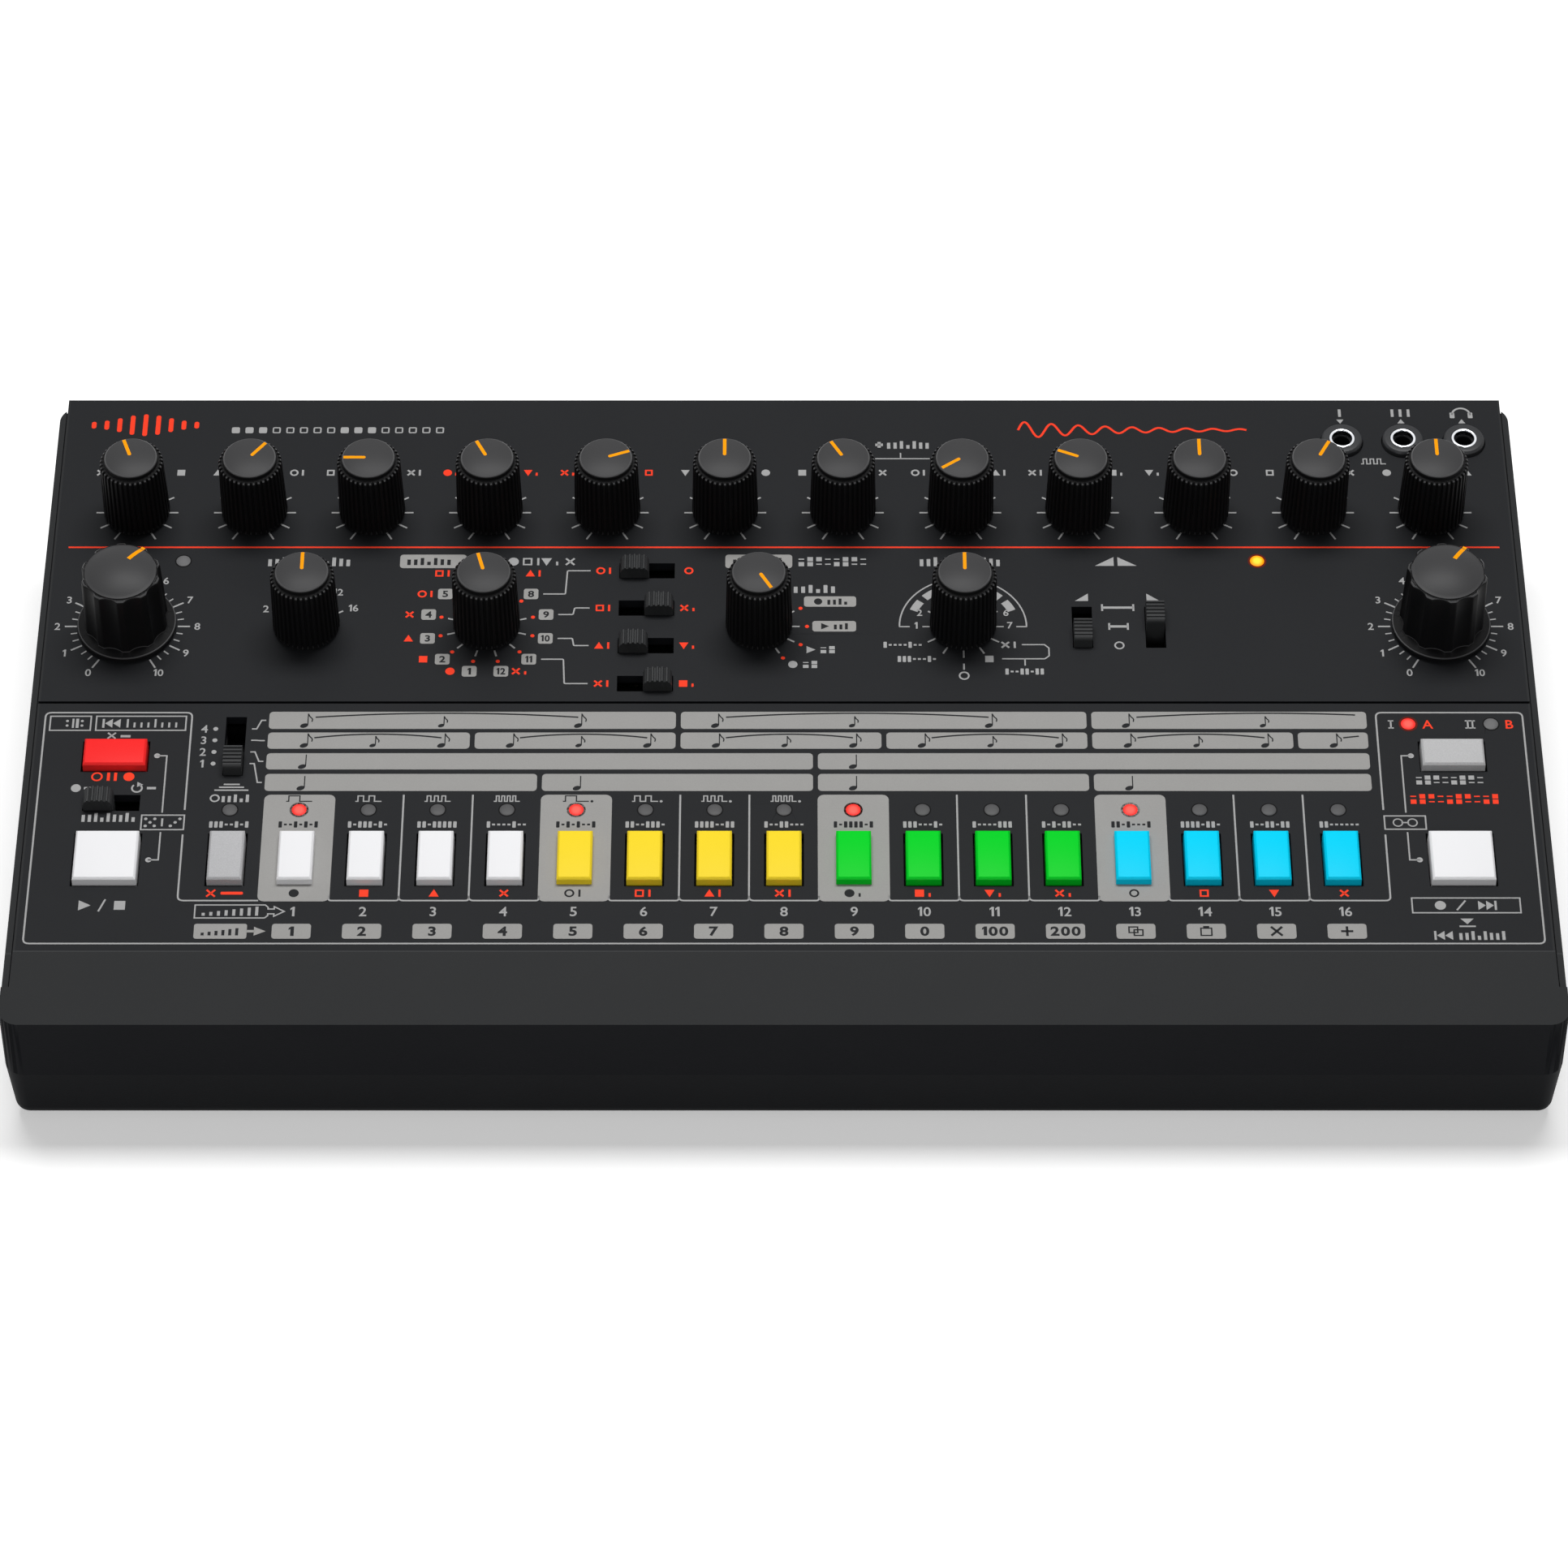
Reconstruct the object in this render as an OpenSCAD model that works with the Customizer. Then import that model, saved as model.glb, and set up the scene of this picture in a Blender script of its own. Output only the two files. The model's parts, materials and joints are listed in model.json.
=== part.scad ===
// Desktop drum machine: a sloping two-shell case with knobs, keys, slide switches and sockets.
// Millimetres, +Z up. The origin is the middle of the footprint, on the surface the feet stand on.
// Panel places are (u, v, h): u to the right, v up the slope from the front face, h off the panel.

/* [Case] */
// Overall width
case_w = 305; // [301:1:370]
// Overall depth, from the front face to the rear lip
case_d = 165; // [162:1:200]
// Height of the front edge above the desk
front_h = 29; // [27:0.5:36]
// Slope of the control panel, degrees
tilt = 5; // [3:0.5:8]
// Slope of the plain strip in front of the panel, degrees
bezel_tilt = 3.2; // [2:0.1:5]
// Length of that strip along the slope
bezel_l = 18.5; // [14:0.5:20]
// Height of the joint between the two shells
seam_h = 14.4; // [12:0.2:16]
// Corner radius of the case seen from above
corner_r = 4; // [2:0.5:8]
// Thickness of the shell walls
wall = 2.4; // [2:0.1:3]
// Thickness of the control panel
panel_t = 2.2; // [1.8:0.1:2.6]
// Width of the low shoulder on each side of the panel
shoulder_w = 1.6; // [1:0.1:3]
// Drop from the panel down to the shoulder
shoulder_drop = 0.8; // [0.4:0.1:1.2]
// Where the shoulder starts, from the front face
shoulder_start = 9.5; // [6:0.5:14]
// Overhang of the panel behind the rear wall
rear_lip = 1.5; // [0.5:0.1:3]
// Inward taper of the lower shell, from the seam to the base
base_taper = 1; // [0:0.1:2]
// Radius of the bottom edge
base_r = 3; // [1:0.5:5]
// Width and depth of the groove across the panel
split_groove = 0.6; // [0.4:0.1:1]
// Width of the fine groove beside the panel
side_groove = 0.35; // [0.2:0.05:0.6]

/* [Panel rows, up the slope] */
// Step keys, start key and write key
key_row = 41.4; // [36:0.1:44]
// Step lamps
led_row = 54.1; // [51:0.1:56]
// Red key and pattern key
pad_row = 67.9; // [64:0.1:72]
// Two-way lever on the left
auto_row = 55.9; // [54:0.1:58]
// Four-way lever
scale_row = 70.6; // [68:0.1:72]
// Bank lamps
bank_row = 76.4; // [75:0.1:78]
// Groove between the two halves of the panel
split_row = 82.1; // [80:0.1:84]
// Selectors and large knobs
selector_row = 102.4; // [100:0.1:106]
// Status lamps
status_row = 120.2; // [117:0.1:123]
// Row of twelve knobs
knob_row = 133.6; // [130:0.1:136]
// Sockets on the panel
jack_row = 153.5; // [152:0.1:155]

/* [Panel columns] */
// Distance from one step key to the next
step_pitch = 13.81; // [11:0.01:14]
// Middle of the sixteen step keys
step_mid = 6.9; // [0:0.1:8]
// Large knobs and wide keys, each side of the middle
side_u = 134.25; // [130:0.05:138]
// Distance between knobs of the top row
knob_pitch = 24.42; // [18:0.02:25]
// First of the three sockets
jack_u = 117; // [110:0.5:118]
// Distance between the three sockets
jack_pitch = 12.8; // [12:0.1:13]
// Column of the four voice levers
voice_u = -28.2; // [-30:0.1:-26]
// First voice lever row, counted from the rear
voice_row = 117.55; // [116:0.05:119]
// Distance between the voice lever rows
voice_pitch = 10.15; // [9:0.05:11]
// Fade-in lever
fade_u = 61; // [58:0.5:64]
// Distance from the fade-in lever to the fade-out lever
fade_pitch = 14.9; // [12:0.1:16]

/* [Small knobs] */
// Diameter at the foot
knob_d = 13.7; // [12:0.1:16]
// Diameter of the ribbed part at its top
knob_top_d = 13; // [11:0.1:13.5]
// Height of the knob above the panel
knob_h = 17.1; // [14:0.1:22]
// Diameter of the smooth cap
cap_d = 10.8; // [9:0.1:11]
// Height of the smooth cap over the ribs
cap_h = 1.3; // [0.8:0.1:2]
// Number of ribs
rib_count = 38; // [24:2:48]
// Depth of the grooves between the ribs
rib_depth = 0.45; // [0.3:0.05:0.6]
// Width of the pointer line
pointer_w = 0.75; // [0.5:0.05:1.2]

/* [Large knobs] */
// Diameter of the skirt
skirt_d = 20.1; // [18:0.1:23]
// Thickness of the skirt at its rim
skirt_t = 1.6; // [1.2:0.1:2.4]
// Diameter of the fluted grip at its foot
grip_d = 17.2; // [15:0.1:18]
// Diameter of the fluted grip at its top
grip_top_d = 16.3; // [15:0.1:18]
// Height of the grip above the panel
grip_h = 16.9; // [14:0.1:20]
// Rise of the domed cap over the grip
dome_h = 1.5; // [0.6:0.1:2.5]
// Number of flutes
flute_count = 10; // [8:1:16]
// Width of the pointer line on a large knob
large_pointer_w = 0.9; // [0.6:0.05:1.4]

/* [Shafts] */
// Diameter of the potentiometer shafts
shaft_d = 6; // [5:0.1:6.5]
// Running gap between a shaft and its bushing, on the radius
shaft_gap = 0.05; // [0.02:0.01:0.08]
// Wall of the bushing
bushing_wall = 0.4; // [0.3:0.05:0.6]

/* [Keys] */
// Width of a step key
key_w = 7.1; // [6:0.1:8.4]
// Length of a step key
key_l = 12.6; // [10:0.1:15]
// Width of the wide keys
wide_key_w = 12.7; // [11:0.1:15]
// Length of the short wide keys
short_key_l = 7.1; // [6:0.1:8.5]
// Height of the keys over the panel
key_h = 1.9; // [1.6:0.1:3]
// Bevel round the top of a key
key_bevel = 0.6; // [0.3:0.1:0.9]
// Gap round a key in its hole
key_gap = 0.4; // [0.2:0.05:0.5]
// Travel of a key
key_travel = 1.2; // [0.8:0.1:1.2]

/* [Slide switches] */
// Length of a lever along its travel
lever_l = 5.9; // [5:0.1:6.4]
// Width of a lever across its travel
lever_w = 3.75; // [3:0.05:4.2]
// Height of a lever over the panel
lever_h = 3.2; // [2.4:0.1:4.5]
// Travel of the two-way levers
two_way_travel = 5.1; // [4:0.1:6]
// Travel of the three-way levers
three_way_travel = 4.8; // [4:0.1:6]
// Travel of the four-way lever
four_way_travel = 9; // [7:0.1:10]
// Gap round a lever in its slot
slot_gap = 0.2; // [0.15:0.05:0.4]

/* [Lamps and sockets] */
// Diameter of the lamps
led_d = 2.85; // [2.4:0.05:3.2]
// Gap round a lamp in its hole
led_gap = 0.2; // [0.1:0.05:0.3]
// Bore of the small sockets
jack_bore_d = 3.6; // [3.5:0.05:3.7]
// Diameter of the bright sleeve
sleeve_d = 5.4; // [5:0.1:6]
// Diameter of the dark collar
collar_d = 8.6; // [7.8:0.1:9]
// Height of the collar over the panel
collar_h = 1.4; // [1:0.1:2]
// Bore of the large output socket
output_bore_d = 6.5; // [6.4:0.05:6.6]

/* [Inside] */
// Depth of the control board under the panel surface
board_depth = 9; // [8.6:0.1:10]
// Thickness of the circuit boards
board_t = 1.6; // [1.2:0.1:2]
// Gap between pieces that only pass each other
clearance = 0.3; // [0.2:0.05:0.4]
// Height of the rear board above the desk
rear_board_h = 12; // [11:0.5:13]

/* [Feet and screws] */
// Diameter of the rubber feet
foot_d = 12; // [9:0.5:16]
// Thickness of the rubber feet
foot_t = 2.2; // [1.8:0.1:2.4]
// How far the feet stand out of the base
foot_proud = 0.8; // [0.5:0.1:1.4]
// Feet, each side of the middle
foot_x = 132; // [110:1:135]
// Feet, in front of and behind the middle
foot_y = 62; // [50:1:66]
// Outer diameter of the screw posts
post_d = 8; // [7:0.5:9]
// Screw posts, each side of the middle
post_x = 138; // [136:0.5:140]
// Diameter of the screw threads
screw_d = 2.5; // [2:0.1:3]
// Diameter of the screw heads
screw_head_d = 5.4; // [4.6:0.1:5.6]

/* [Hidden] */
$fn = 64;
eps = 0.01;

front_y = -case_d / 2;
rear_y = case_d / 2 - rear_lip;
bezel_rise = bezel_l * tan(tilt - bezel_tilt);
panel_z = front_h - bezel_rise;
panel_l = (case_d - panel_t * sin(tilt)) / cos(tilt);
panel_w = case_w - 2 * shoulder_w;
floor_z = foot_proud + wall;
// Tongue of the lower shell that stands in the upper one
tongue_h = 2;
tongue_play = 0.1;
tongue_t = wall / 2 - tongue_play;
tongue_gap = 0.2;

// Heights off the panel surface
board_top = -board_depth;
board_bottom = board_top - board_t;
body_top = -panel_t - clearance;
bushing_top = 1.1;
shaft_bottom = board_top + 2;
shaft_top = knob_h - 4.5;
knob_foot = 0.6;
key_foot = -panel_t - 1;
key_flange = 0.9;
switch_top = -panel_t - key_travel - 1.6;
lever_bottom = board_top + 1;
slide_body_top = board_top + 4.4;
led_foot = -5;
// Sizes in plan
pot_w = 9.7;
pot_l = 11;
switch_w = 6;
plunger_d = 3.4;
key_skin = 1;
jack_body_w = 9;
jack_body_l = 10;
board_half = 141;
board_front = 26;
board_rear = 159;
// Sliding and pressed fits between a shell and a screw, and between a knob and its shaft
screw_play = 0.4;
pilot_play = 0.1;
shaft_hold = 0.04;

step_count = 16;
knob_count = 12;
// Pointer angles at rest, clockwise from straight up the slope
knob_angles = [-20, 38, -90, -27, 70, 0, -30, -125, -67, 0, 28, 0];
large_angles = [33, 31];
selector_angles = [0, -15, 150, 0];
selector_us = [-97.6, -60.75, -5.1, 36.6];

function two_digit(i) = i < 10 ? str("0", i) : str(i);
function step_u(i) = step_mid + (i - (step_count + 1) / 2) * step_pitch;
function knob_u(i) = (i - (knob_count + 1) / 2) * knob_pitch;
function panel_point(v, h) = [
    front_y + v * cos(tilt) - h * sin(tilt),
    panel_z + v * sin(tilt) + h * cos(tilt)
];
// The function key keeps the pitch of the step keys, one place before the first
function_u = step_u(0);

// [u, v, width, length] of every key
step_keys = [for (i = [1:step_count]) [step_u(i), key_row, key_w, key_l]];
function_key_at = [function_u, key_row, key_w, key_l];
start_key_at = [-side_u, key_row, wide_key_w, key_l];
write_key_at = [side_u, key_row, wide_key_w, key_l];
clear_key_at = [-side_u, pad_row, wide_key_w, short_key_l];
pattern_key_at = [side_u, pad_row, wide_key_w, short_key_l];
all_keys = concat(step_keys, [function_key_at, start_key_at, write_key_at, clear_key_at, pattern_key_at]);

// [u, v, direction of travel in degrees, travel, share of the travel at rest] of every lever
voice_levers = [for (i = [0:3]) [voice_u, voice_row - i * voice_pitch, 0, two_way_travel, i % 2]];
auto_lever_at = [-side_u, auto_row, 0, two_way_travel, 0];
fade_in_at = [fade_u, selector_row - 0.2, 90, three_way_travel, 0];
fade_out_at = [fade_u + fade_pitch, selector_row - 0.2, 90, three_way_travel, 1];
scale_lever_at = [function_u, scale_row, 90, four_way_travel, 0];
panel_levers = concat(voice_levers, [auto_lever_at, fade_in_at, fade_out_at, scale_lever_at]);

// Places of the lamps
lit_leds = concat(
    [for (i = [1:4:step_count]) [step_u(i), led_row]],
    [[97.6, status_row], [125.9, bank_row]]);
off_leds = concat(
    [for (i = [1:step_count]) if (i % 4 != 1) [step_u(i), led_row]],
    [[function_u, led_row], [-123.9, status_row], [142.6, bank_row]]);

// Places of every rotary shaft
small_shafts = concat(
    [for (i = [1:knob_count]) [knob_u(i), knob_row]],
    [for (u = selector_us) [u, selector_row]]);
large_shafts = [[-side_u, selector_row], [side_u, selector_row]];
all_shafts = concat(small_shafts, large_shafts);
jacks = [for (i = [0:2]) [jack_u + i * jack_pitch, jack_row]];

// Screw posts that join the two shells, [x, v]
case_posts = [
    [-post_x, 12], [0, 12], [post_x, 12],
    [-post_x, status_row - 2], [knob_pitch, jack_row - 6.5], [post_x, status_row - 2]
];
post_meet = seam_h - 2;
screw_seat = 6;
screw_l = 12;
// Standoffs that carry the control board, [u, v]
board_posts = [
    [-120, key_row - 10.4], [120.5, key_row - 10.4], [-80, split_row - 4], [80, split_row - 4],
    [-110, status_row - 2], [-20, jack_row - 6.5], [60, jack_row - 6.5]
];
board_post_d = 5;
board_screw_l = 6;

// Rear board, and the inner side of the rear wall at its height
taper_at_board = base_taper * (seam_h - rear_board_h + board_t) / (seam_h - floor_z);
rear_inner = rear_y - wall - taper_at_board - clearance;
rear_face = rear_y - 0.2;
rear_board_w = 140;
rear_board_l = 32;
rear_board_x = -56;
// Its standoffs, [x, y]
rear_posts = [for (side = [-1, 1])
    [rear_board_x + side * (rear_board_w / 2 - 5), rear_inner - rear_board_l + 4.5]];

// Rear sockets: places across the case, and heights of their axes
power_x = -118;
dc_x = -104;
usb_x = -84;
din_xs = [-58, -34];
output_x = -2;
rear_axis_z = rear_board_h + 9.4;
dc_axis_z = rear_board_h + 6.5;
power_z = rear_board_h + 5;
// Their bodies, [width, depth, height], and faces
din_body = [18, 16, 17.5];
din_d = 15;
dc_body = [9, 14, 11];
dc_d = 8;
usb_body = [12, 16, 11];
usb_mouth = [8.5, 9, 7.8];
output_body = [16, 24, 15];
output_barrel_d = 9.6;
output_collar_d = 12;
output_depth = 22;
output_proud = 1.2;
// Power switch
power_travel = 3;
power_lever_l = 4;
power_lever_w = 3;
power_slot_w = power_travel + power_lever_l + 2 * slot_gap;

// ---------------------------------------------------------------- helpers

module on_panel(u = 0, v = 0, h = 0) {
    translate([0, front_y, panel_z]) rotate([tilt, 0, 0]) translate([u, v, h]) children();
}

// Extrudes an outline drawn as (y, z) across the width
module across(width) {
    rotate([90, 0, 90]) linear_extrude(width, center = true) children();
}

module rounded_outline(x0, x1, y0, y1, r) {
    translate([x0 + r, y0]) square([x1 - x0 - 2 * r, y1 - y0]);
    translate([x0, y0 + r]) square([x1 - x0, y1 - y0 - 2 * r]);
    for (x = [x0 + r, x1 - r], y = [y0 + r, y1 - r])
        translate([x, y]) circle(r);
}

module case_outline(inset = 0) {
    half = case_w / 2 - inset;
    rounded_outline(-half, half, front_y + inset, rear_y - inset, max(corner_r - inset, 1));
}

// Block with its middle on u, v and its height from h0 to h1
module block(w, l, h0, h1) {
    translate([-w / 2, -l / 2, h0]) cube([w, l, h1 - h0]);
}

// Place of a screw post of the case, at height z
module at_post(place, z) {
    translate([place[0], front_y + place[1] * cos(tilt), z]) children();
}

module at_feet() {
    for (side = [-1, 1], end = [-1, 1])
        translate([side * foot_x, end * foot_y, 0]) children();
}

// ---------------------------------------------------------------- case

module shoulder_profile() {
    polygon([
        [front_y, seam_h],
        [front_y, front_h],
        panel_point(shoulder_start, bezel_rise * (1 - shoulder_start / bezel_l)),
        panel_point(shoulder_start, -shoulder_drop),
        panel_point(panel_l, -shoulder_drop),
        [rear_y + 5, seam_h]
    ]);
}

module plate_profile() {
    polygon([
        panel_point(shoulder_start - 1, -panel_t),
        panel_point(shoulder_start - 1, bezel_rise * (1 - (shoulder_start - 1) / bezel_l)),
        panel_point(bezel_l, 0),
        panel_point(panel_l, 0),
        panel_point(panel_l, -panel_t)
    ]);
}

module under_panel_profile() {
    polygon([
        [front_y, -1],
        panel_point(0, -panel_t),
        panel_point(panel_l, -panel_t),
        [rear_y, -1]
    ]);
}

module panel_cutouts() {
    for (s = all_shafts)
        on_panel(s[0], s[1]) cylinder(h = 4 * panel_t, d = shaft_d + 2 * bushing_wall + 2 * clearance,
                                      center = true);
    for (k = all_keys)
        on_panel(k[0], k[1]) block(k[2] + 2 * key_gap, k[3] + 2 * key_gap, -2 * panel_t, 2 * panel_t);
    for (l = panel_levers)
        on_panel(l[0], l[1]) rotate([0, 0, l[2]])
            block(l[3] + lever_l + 2 * slot_gap, lever_w + 2 * slot_gap, -2 * panel_t, 2 * panel_t);
    for (p = concat(lit_leds, off_leds))
        on_panel(p[0], p[1]) cylinder(h = 4 * panel_t, d = led_d + 2 * led_gap, center = true);
    for (p = jacks)
        on_panel(p[0], p[1]) cylinder(h = 4 * panel_t, d = collar_d + 2 * led_gap, center = true);
    on_panel(0, split_row) block(case_w, split_groove, -split_groove, 1);
    for (side = [-1, 1])
        on_panel(side * (panel_w + side_groove) / 2, shoulder_start + panel_l / 2)
            block(side_groove, panel_l, -shoulder_drop - 0.6, 0);
}

module rear_cutouts() {
    for (x = din_xs)
        translate([x, rear_y, rear_axis_z]) rotate([90, 0, 0])
            cylinder(h = 4 * wall, d = din_d + 2 * clearance, center = true);
    translate([output_x, rear_y, rear_axis_z]) rotate([90, 0, 0])
        cylinder(h = 4 * wall, d = output_collar_d + 2 * clearance, center = true);
    translate([dc_x, rear_y, dc_axis_z]) rotate([90, 0, 0])
        cylinder(h = 4 * wall, d = dc_d + 2 * clearance, center = true);
    translate([usb_x, rear_y, rear_board_h + usb_body[2] / 2])
        cube([usb_body[0] + 2 * clearance, 4 * wall, usb_body[2] + 2 * clearance], center = true);
    translate([power_x, rear_y, power_z])
        cube([power_slot_w, 4 * wall, power_lever_w + 2 * slot_gap], center = true);
}

module top_posts() {
    intersection() {
        union() {
            for (p = case_posts)
                at_post(p, post_meet) cylinder(h = 60, d = post_d);
            for (p = board_posts)
                on_panel(p[0], p[1], board_top) cylinder(h = board_depth, d = board_post_d);
        }
        across(case_w - 2 * wall) under_panel_profile();
    }
}

module top_case() {
    color("#2f3134") difference() {
        union() {
            difference() {
                union() {
                    intersection() {
                        translate([0, 0, seam_h]) linear_extrude(60) case_outline();
                        across(case_w) shoulder_profile();
                    }
                    across(panel_w) plate_profile();
                }
                intersection() {
                    translate([0, 0, -1]) linear_extrude(70) case_outline(wall);
                    across(case_w) under_panel_profile();
                }
                translate([0, 0, seam_h - 1]) linear_extrude(1 + tongue_h + tongue_gap)
                    case_outline(wall / 2);
            }
            top_posts();
        }
        panel_cutouts();
        rear_cutouts();
        for (p = case_posts)
            at_post(p, post_meet - 1) cylinder(h = screw_l, d = screw_d + pilot_play);
        for (p = board_posts)
            on_panel(p[0], p[1], board_top - 1) cylinder(h = board_screw_l, d = screw_d + pilot_play);
    }
}

// Outer form of the lower shell: tapered walls that run into a rounded bottom edge
module base_form() {
    hull() {
        translate([0, 0, seam_h - eps]) linear_extrude(eps) case_outline($fn = 32);
        for (a = [0:15:90])
            translate([0, 0, foot_proud + base_r * (1 - sin(a))]) linear_extrude(eps)
                case_outline(base_taper + base_r * (1 - cos(a)), $fn = 32);
    }
}

module base_cavity() {
    hull() {
        translate([0, 0, seam_h - eps]) linear_extrude(1) case_outline(wall, $fn = 32);
        translate([0, 0, floor_z]) linear_extrude(eps) case_outline(wall + base_taper, $fn = 32);
    }
}

module bottom_case() {
    color("#1c1e20") difference() {
        union() {
            difference() {
                base_form();
                base_cavity();
            }
            translate([0, 0, seam_h - tongue_h]) linear_extrude(2 * tongue_h) difference() {
                case_outline(wall - tongue_t);
                case_outline(wall);
            }
            for (p = case_posts)
                at_post(p, foot_proud + 1) cylinder(h = post_meet - foot_proud - 1, d = post_d);
            for (p = rear_posts)
                translate([p[0], p[1], foot_proud + 1])
                    cylinder(h = rear_board_h - board_t - foot_proud - 1, d = board_post_d);
        }
        for (p = case_posts) {
            at_post(p, 0) cylinder(h = screw_seat, d = screw_head_d + 2 * clearance);
            at_post(p, 0) cylinder(h = seam_h, d = screw_d + screw_play);
        }
        for (p = rear_posts)
            translate([p[0], p[1], rear_board_h - board_screw_l])
                cylinder(h = board_screw_l, d = screw_d + pilot_play);
        at_feet() cylinder(h = foot_t, d = foot_d + 0.2);
        rear_cutouts();
    }
}

module feet() {
    edge = 0.5;
    color("#101010") at_feet() rotate_extrude() polygon([
        [0, 0], [foot_d / 2 - edge, 0], [foot_d / 2, edge], [foot_d / 2, foot_t], [0, foot_t]
    ]);
}

// Pan-head screw, its head under z = 0 and its thread above
module screw(length) {
    head_t = 1.8;
    recess = 0.8;
    difference() {
        union() {
            translate([0, 0, -head_t]) cylinder(h = head_t, d = screw_head_d);
            translate([0, 0, -eps]) cylinder(h = length, d = screw_d);
        }
        for (a = [0, 90])
            rotate([0, 0, a]) block(screw_head_d / 2, 0.6, -head_t - 1, recess - head_t);
    }
}

module screws() {
    color("#b9bcc0") {
        for (p = case_posts)
            at_post(p, screw_seat) screw(screw_l);
        for (p = board_posts)
            on_panel(p[0], p[1], board_bottom) screw(board_screw_l);
        for (p = rear_posts)
            translate([p[0], p[1], rear_board_h]) mirror([0, 0, 1]) screw(board_screw_l);
    }
}

// ---------------------------------------------------------------- electronics

module control_board() {
    on_panel(0, 0, board_bottom) difference() {
        linear_extrude(board_t) {
            translate([-board_half, board_front]) square([2 * board_half, board_rear - board_front]);
            translate([jack_u - 5, jack_row - 8]) square([jack_pitch * 2 + 10, 13.5]);
        }
        for (p = board_posts)
            translate([p[0], p[1], -1]) cylinder(h = board_t + 2, d = screw_d + screw_play);
        for (p = case_posts)
            translate([p[0], p[1], -1]) cylinder(h = board_t + 2, d = post_d + 3);
    }
}

module rear_board() {
    difference() {
        translate([rear_board_x - rear_board_w / 2, rear_inner - rear_board_l, rear_board_h - board_t])
            cube([rear_board_w, rear_board_l, board_t]);
        for (p = rear_posts)
            translate([p[0], p[1], rear_board_h - board_t - 1])
                cylinder(h = board_t + 2, d = screw_d + screw_play);
    }
}

module circuit_boards() {
    color("#1d5a36") {
        control_board();
        rear_board();
    }
}

module potentiometers() {
    color("#8d9196") for (s = all_shafts)
        on_panel(s[0], s[1]) difference() {
            union() {
                block(pot_w, pot_l, board_top, body_top);
                translate([0, 0, body_top - eps])
                    cylinder(h = bushing_top - body_top, d = shaft_d + 2 * shaft_gap + 2 * bushing_wall);
            }
            translate([0, 0, shaft_bottom - 0.2]) cylinder(h = 20, d = shaft_d + 2 * shaft_gap);
        }
}

module key_switches() {
    color("#17181a") for (k = all_keys)
        on_panel(k[0], k[1]) difference() {
            block(switch_w, switch_w, board_top, switch_top);
            translate([0, 0, board_top + 0.4]) cylinder(h = 10, d = plunger_d + 0.2);
        }
}

module slide_body(travel) {
    difference() {
        block(travel + lever_l + 3, lever_w + 2, board_top, slide_body_top);
        block(travel + lever_l + 2 * slot_gap, lever_w + 2 * slot_gap, board_top + 0.8, 0);
    }
}

module slide_switches() {
    color("#a3a7ab") {
        for (l = panel_levers)
            on_panel(l[0], l[1]) rotate([0, 0, l[2]]) slide_body(l[3]);
        power_body();
    }
}

// Round lamp with a flange, a domed top and two legs down to the board
module led() {
    r = led_d / 2;
    dome_top = 0.2;
    leg = 0.4;
    rotate_extrude() {
        translate([0, led_foot]) square([r, dome_top - r - led_foot]);
        translate([0, led_foot]) square([r + 0.25, 0.9]);
        intersection() {
            translate([0, dome_top - r]) circle(r);
            translate([0, -r]) square([r, 2 * r]);
        }
    }
    for (side = [-1, 1])
        translate([side * 0.7, 0, 0]) block(leg, leg, board_top, led_foot + eps);
}

module leds_lit() {
    color("#ff4d3d") for (p = lit_leds) on_panel(p[0], p[1]) led();
}

module leds_off() {
    color("#6b6b6b") for (p = off_leds) on_panel(p[0], p[1]) led();
}

// Small socket: body on the board, bright sleeve through the panel, dark collar round it
module small_jack() {
    jack_depth = board_depth - 1;
    sleeve_start = -5;
    lead_in = 0.25;
    collar_bore_r = sleeve_d / 2 + 0.02;
    difference() {
        block(jack_body_w, jack_body_l, board_top, body_top);
        translate([0, 0, -jack_depth]) cylinder(h = 2 * jack_depth, d = jack_bore_d);
    }
    difference() {
        translate([0, 0, body_top]) cylinder(h = collar_h - body_top, d = sleeve_d);
        translate([0, 0, sleeve_start]) cylinder(h = 2 * jack_depth, d = jack_bore_d);
        translate([0, 0, collar_h - lead_in])
            cylinder(h = lead_in + eps, d1 = jack_bore_d, d2 = jack_bore_d + 2 * lead_in);
    }
    rotate_extrude() polygon([
        [collar_bore_r, -panel_t], [collar_d / 2, -panel_t], [collar_d / 2, collar_h - 0.6],
        [collar_d / 2 - 0.5, collar_h - 0.1], [collar_bore_r, collar_h - 0.1]
    ]);
}

module top_jacks() {
    color("#25272a") for (p = jacks) on_panel(p[0], p[1]) small_jack();
}

// ---------------------------------------------------------------- rear sockets

// Box whose back face is the inner side of the rear wall, standing on the rear board
module rear_block(x, size) {
    translate([x - size[0] / 2, rear_inner - size[1], rear_board_h]) cube(size);
}

// Runs a child drawn along +Z from the rear wall outwards, its z = 0 on the inner face
module out_of_rear(x, z) {
    translate([x, rear_inner, z]) rotate([-90, 0, 0]) children();
}

module din_socket(x) {
    reach = rear_face - rear_inner;
    difference() {
        union() {
            rear_block(x, din_body);
            out_of_rear(x, rear_axis_z) translate([0, 0, -eps]) cylinder(h = reach, d = din_d);
        }
        out_of_rear(x, rear_axis_z) {
            difference() {
                translate([0, 0, reach - 8]) cylinder(h = 9, d = din_d - 1);
                translate([0, 0, reach - 9]) cylinder(h = 9, d = din_d - 4);
            }
            for (a = [0, 45, 90, 135, 180])
                rotate([0, 0, a]) translate([3.7, 0, reach - 8]) cylinder(h = 9, d = 1.6);
        }
    }
}

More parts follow.
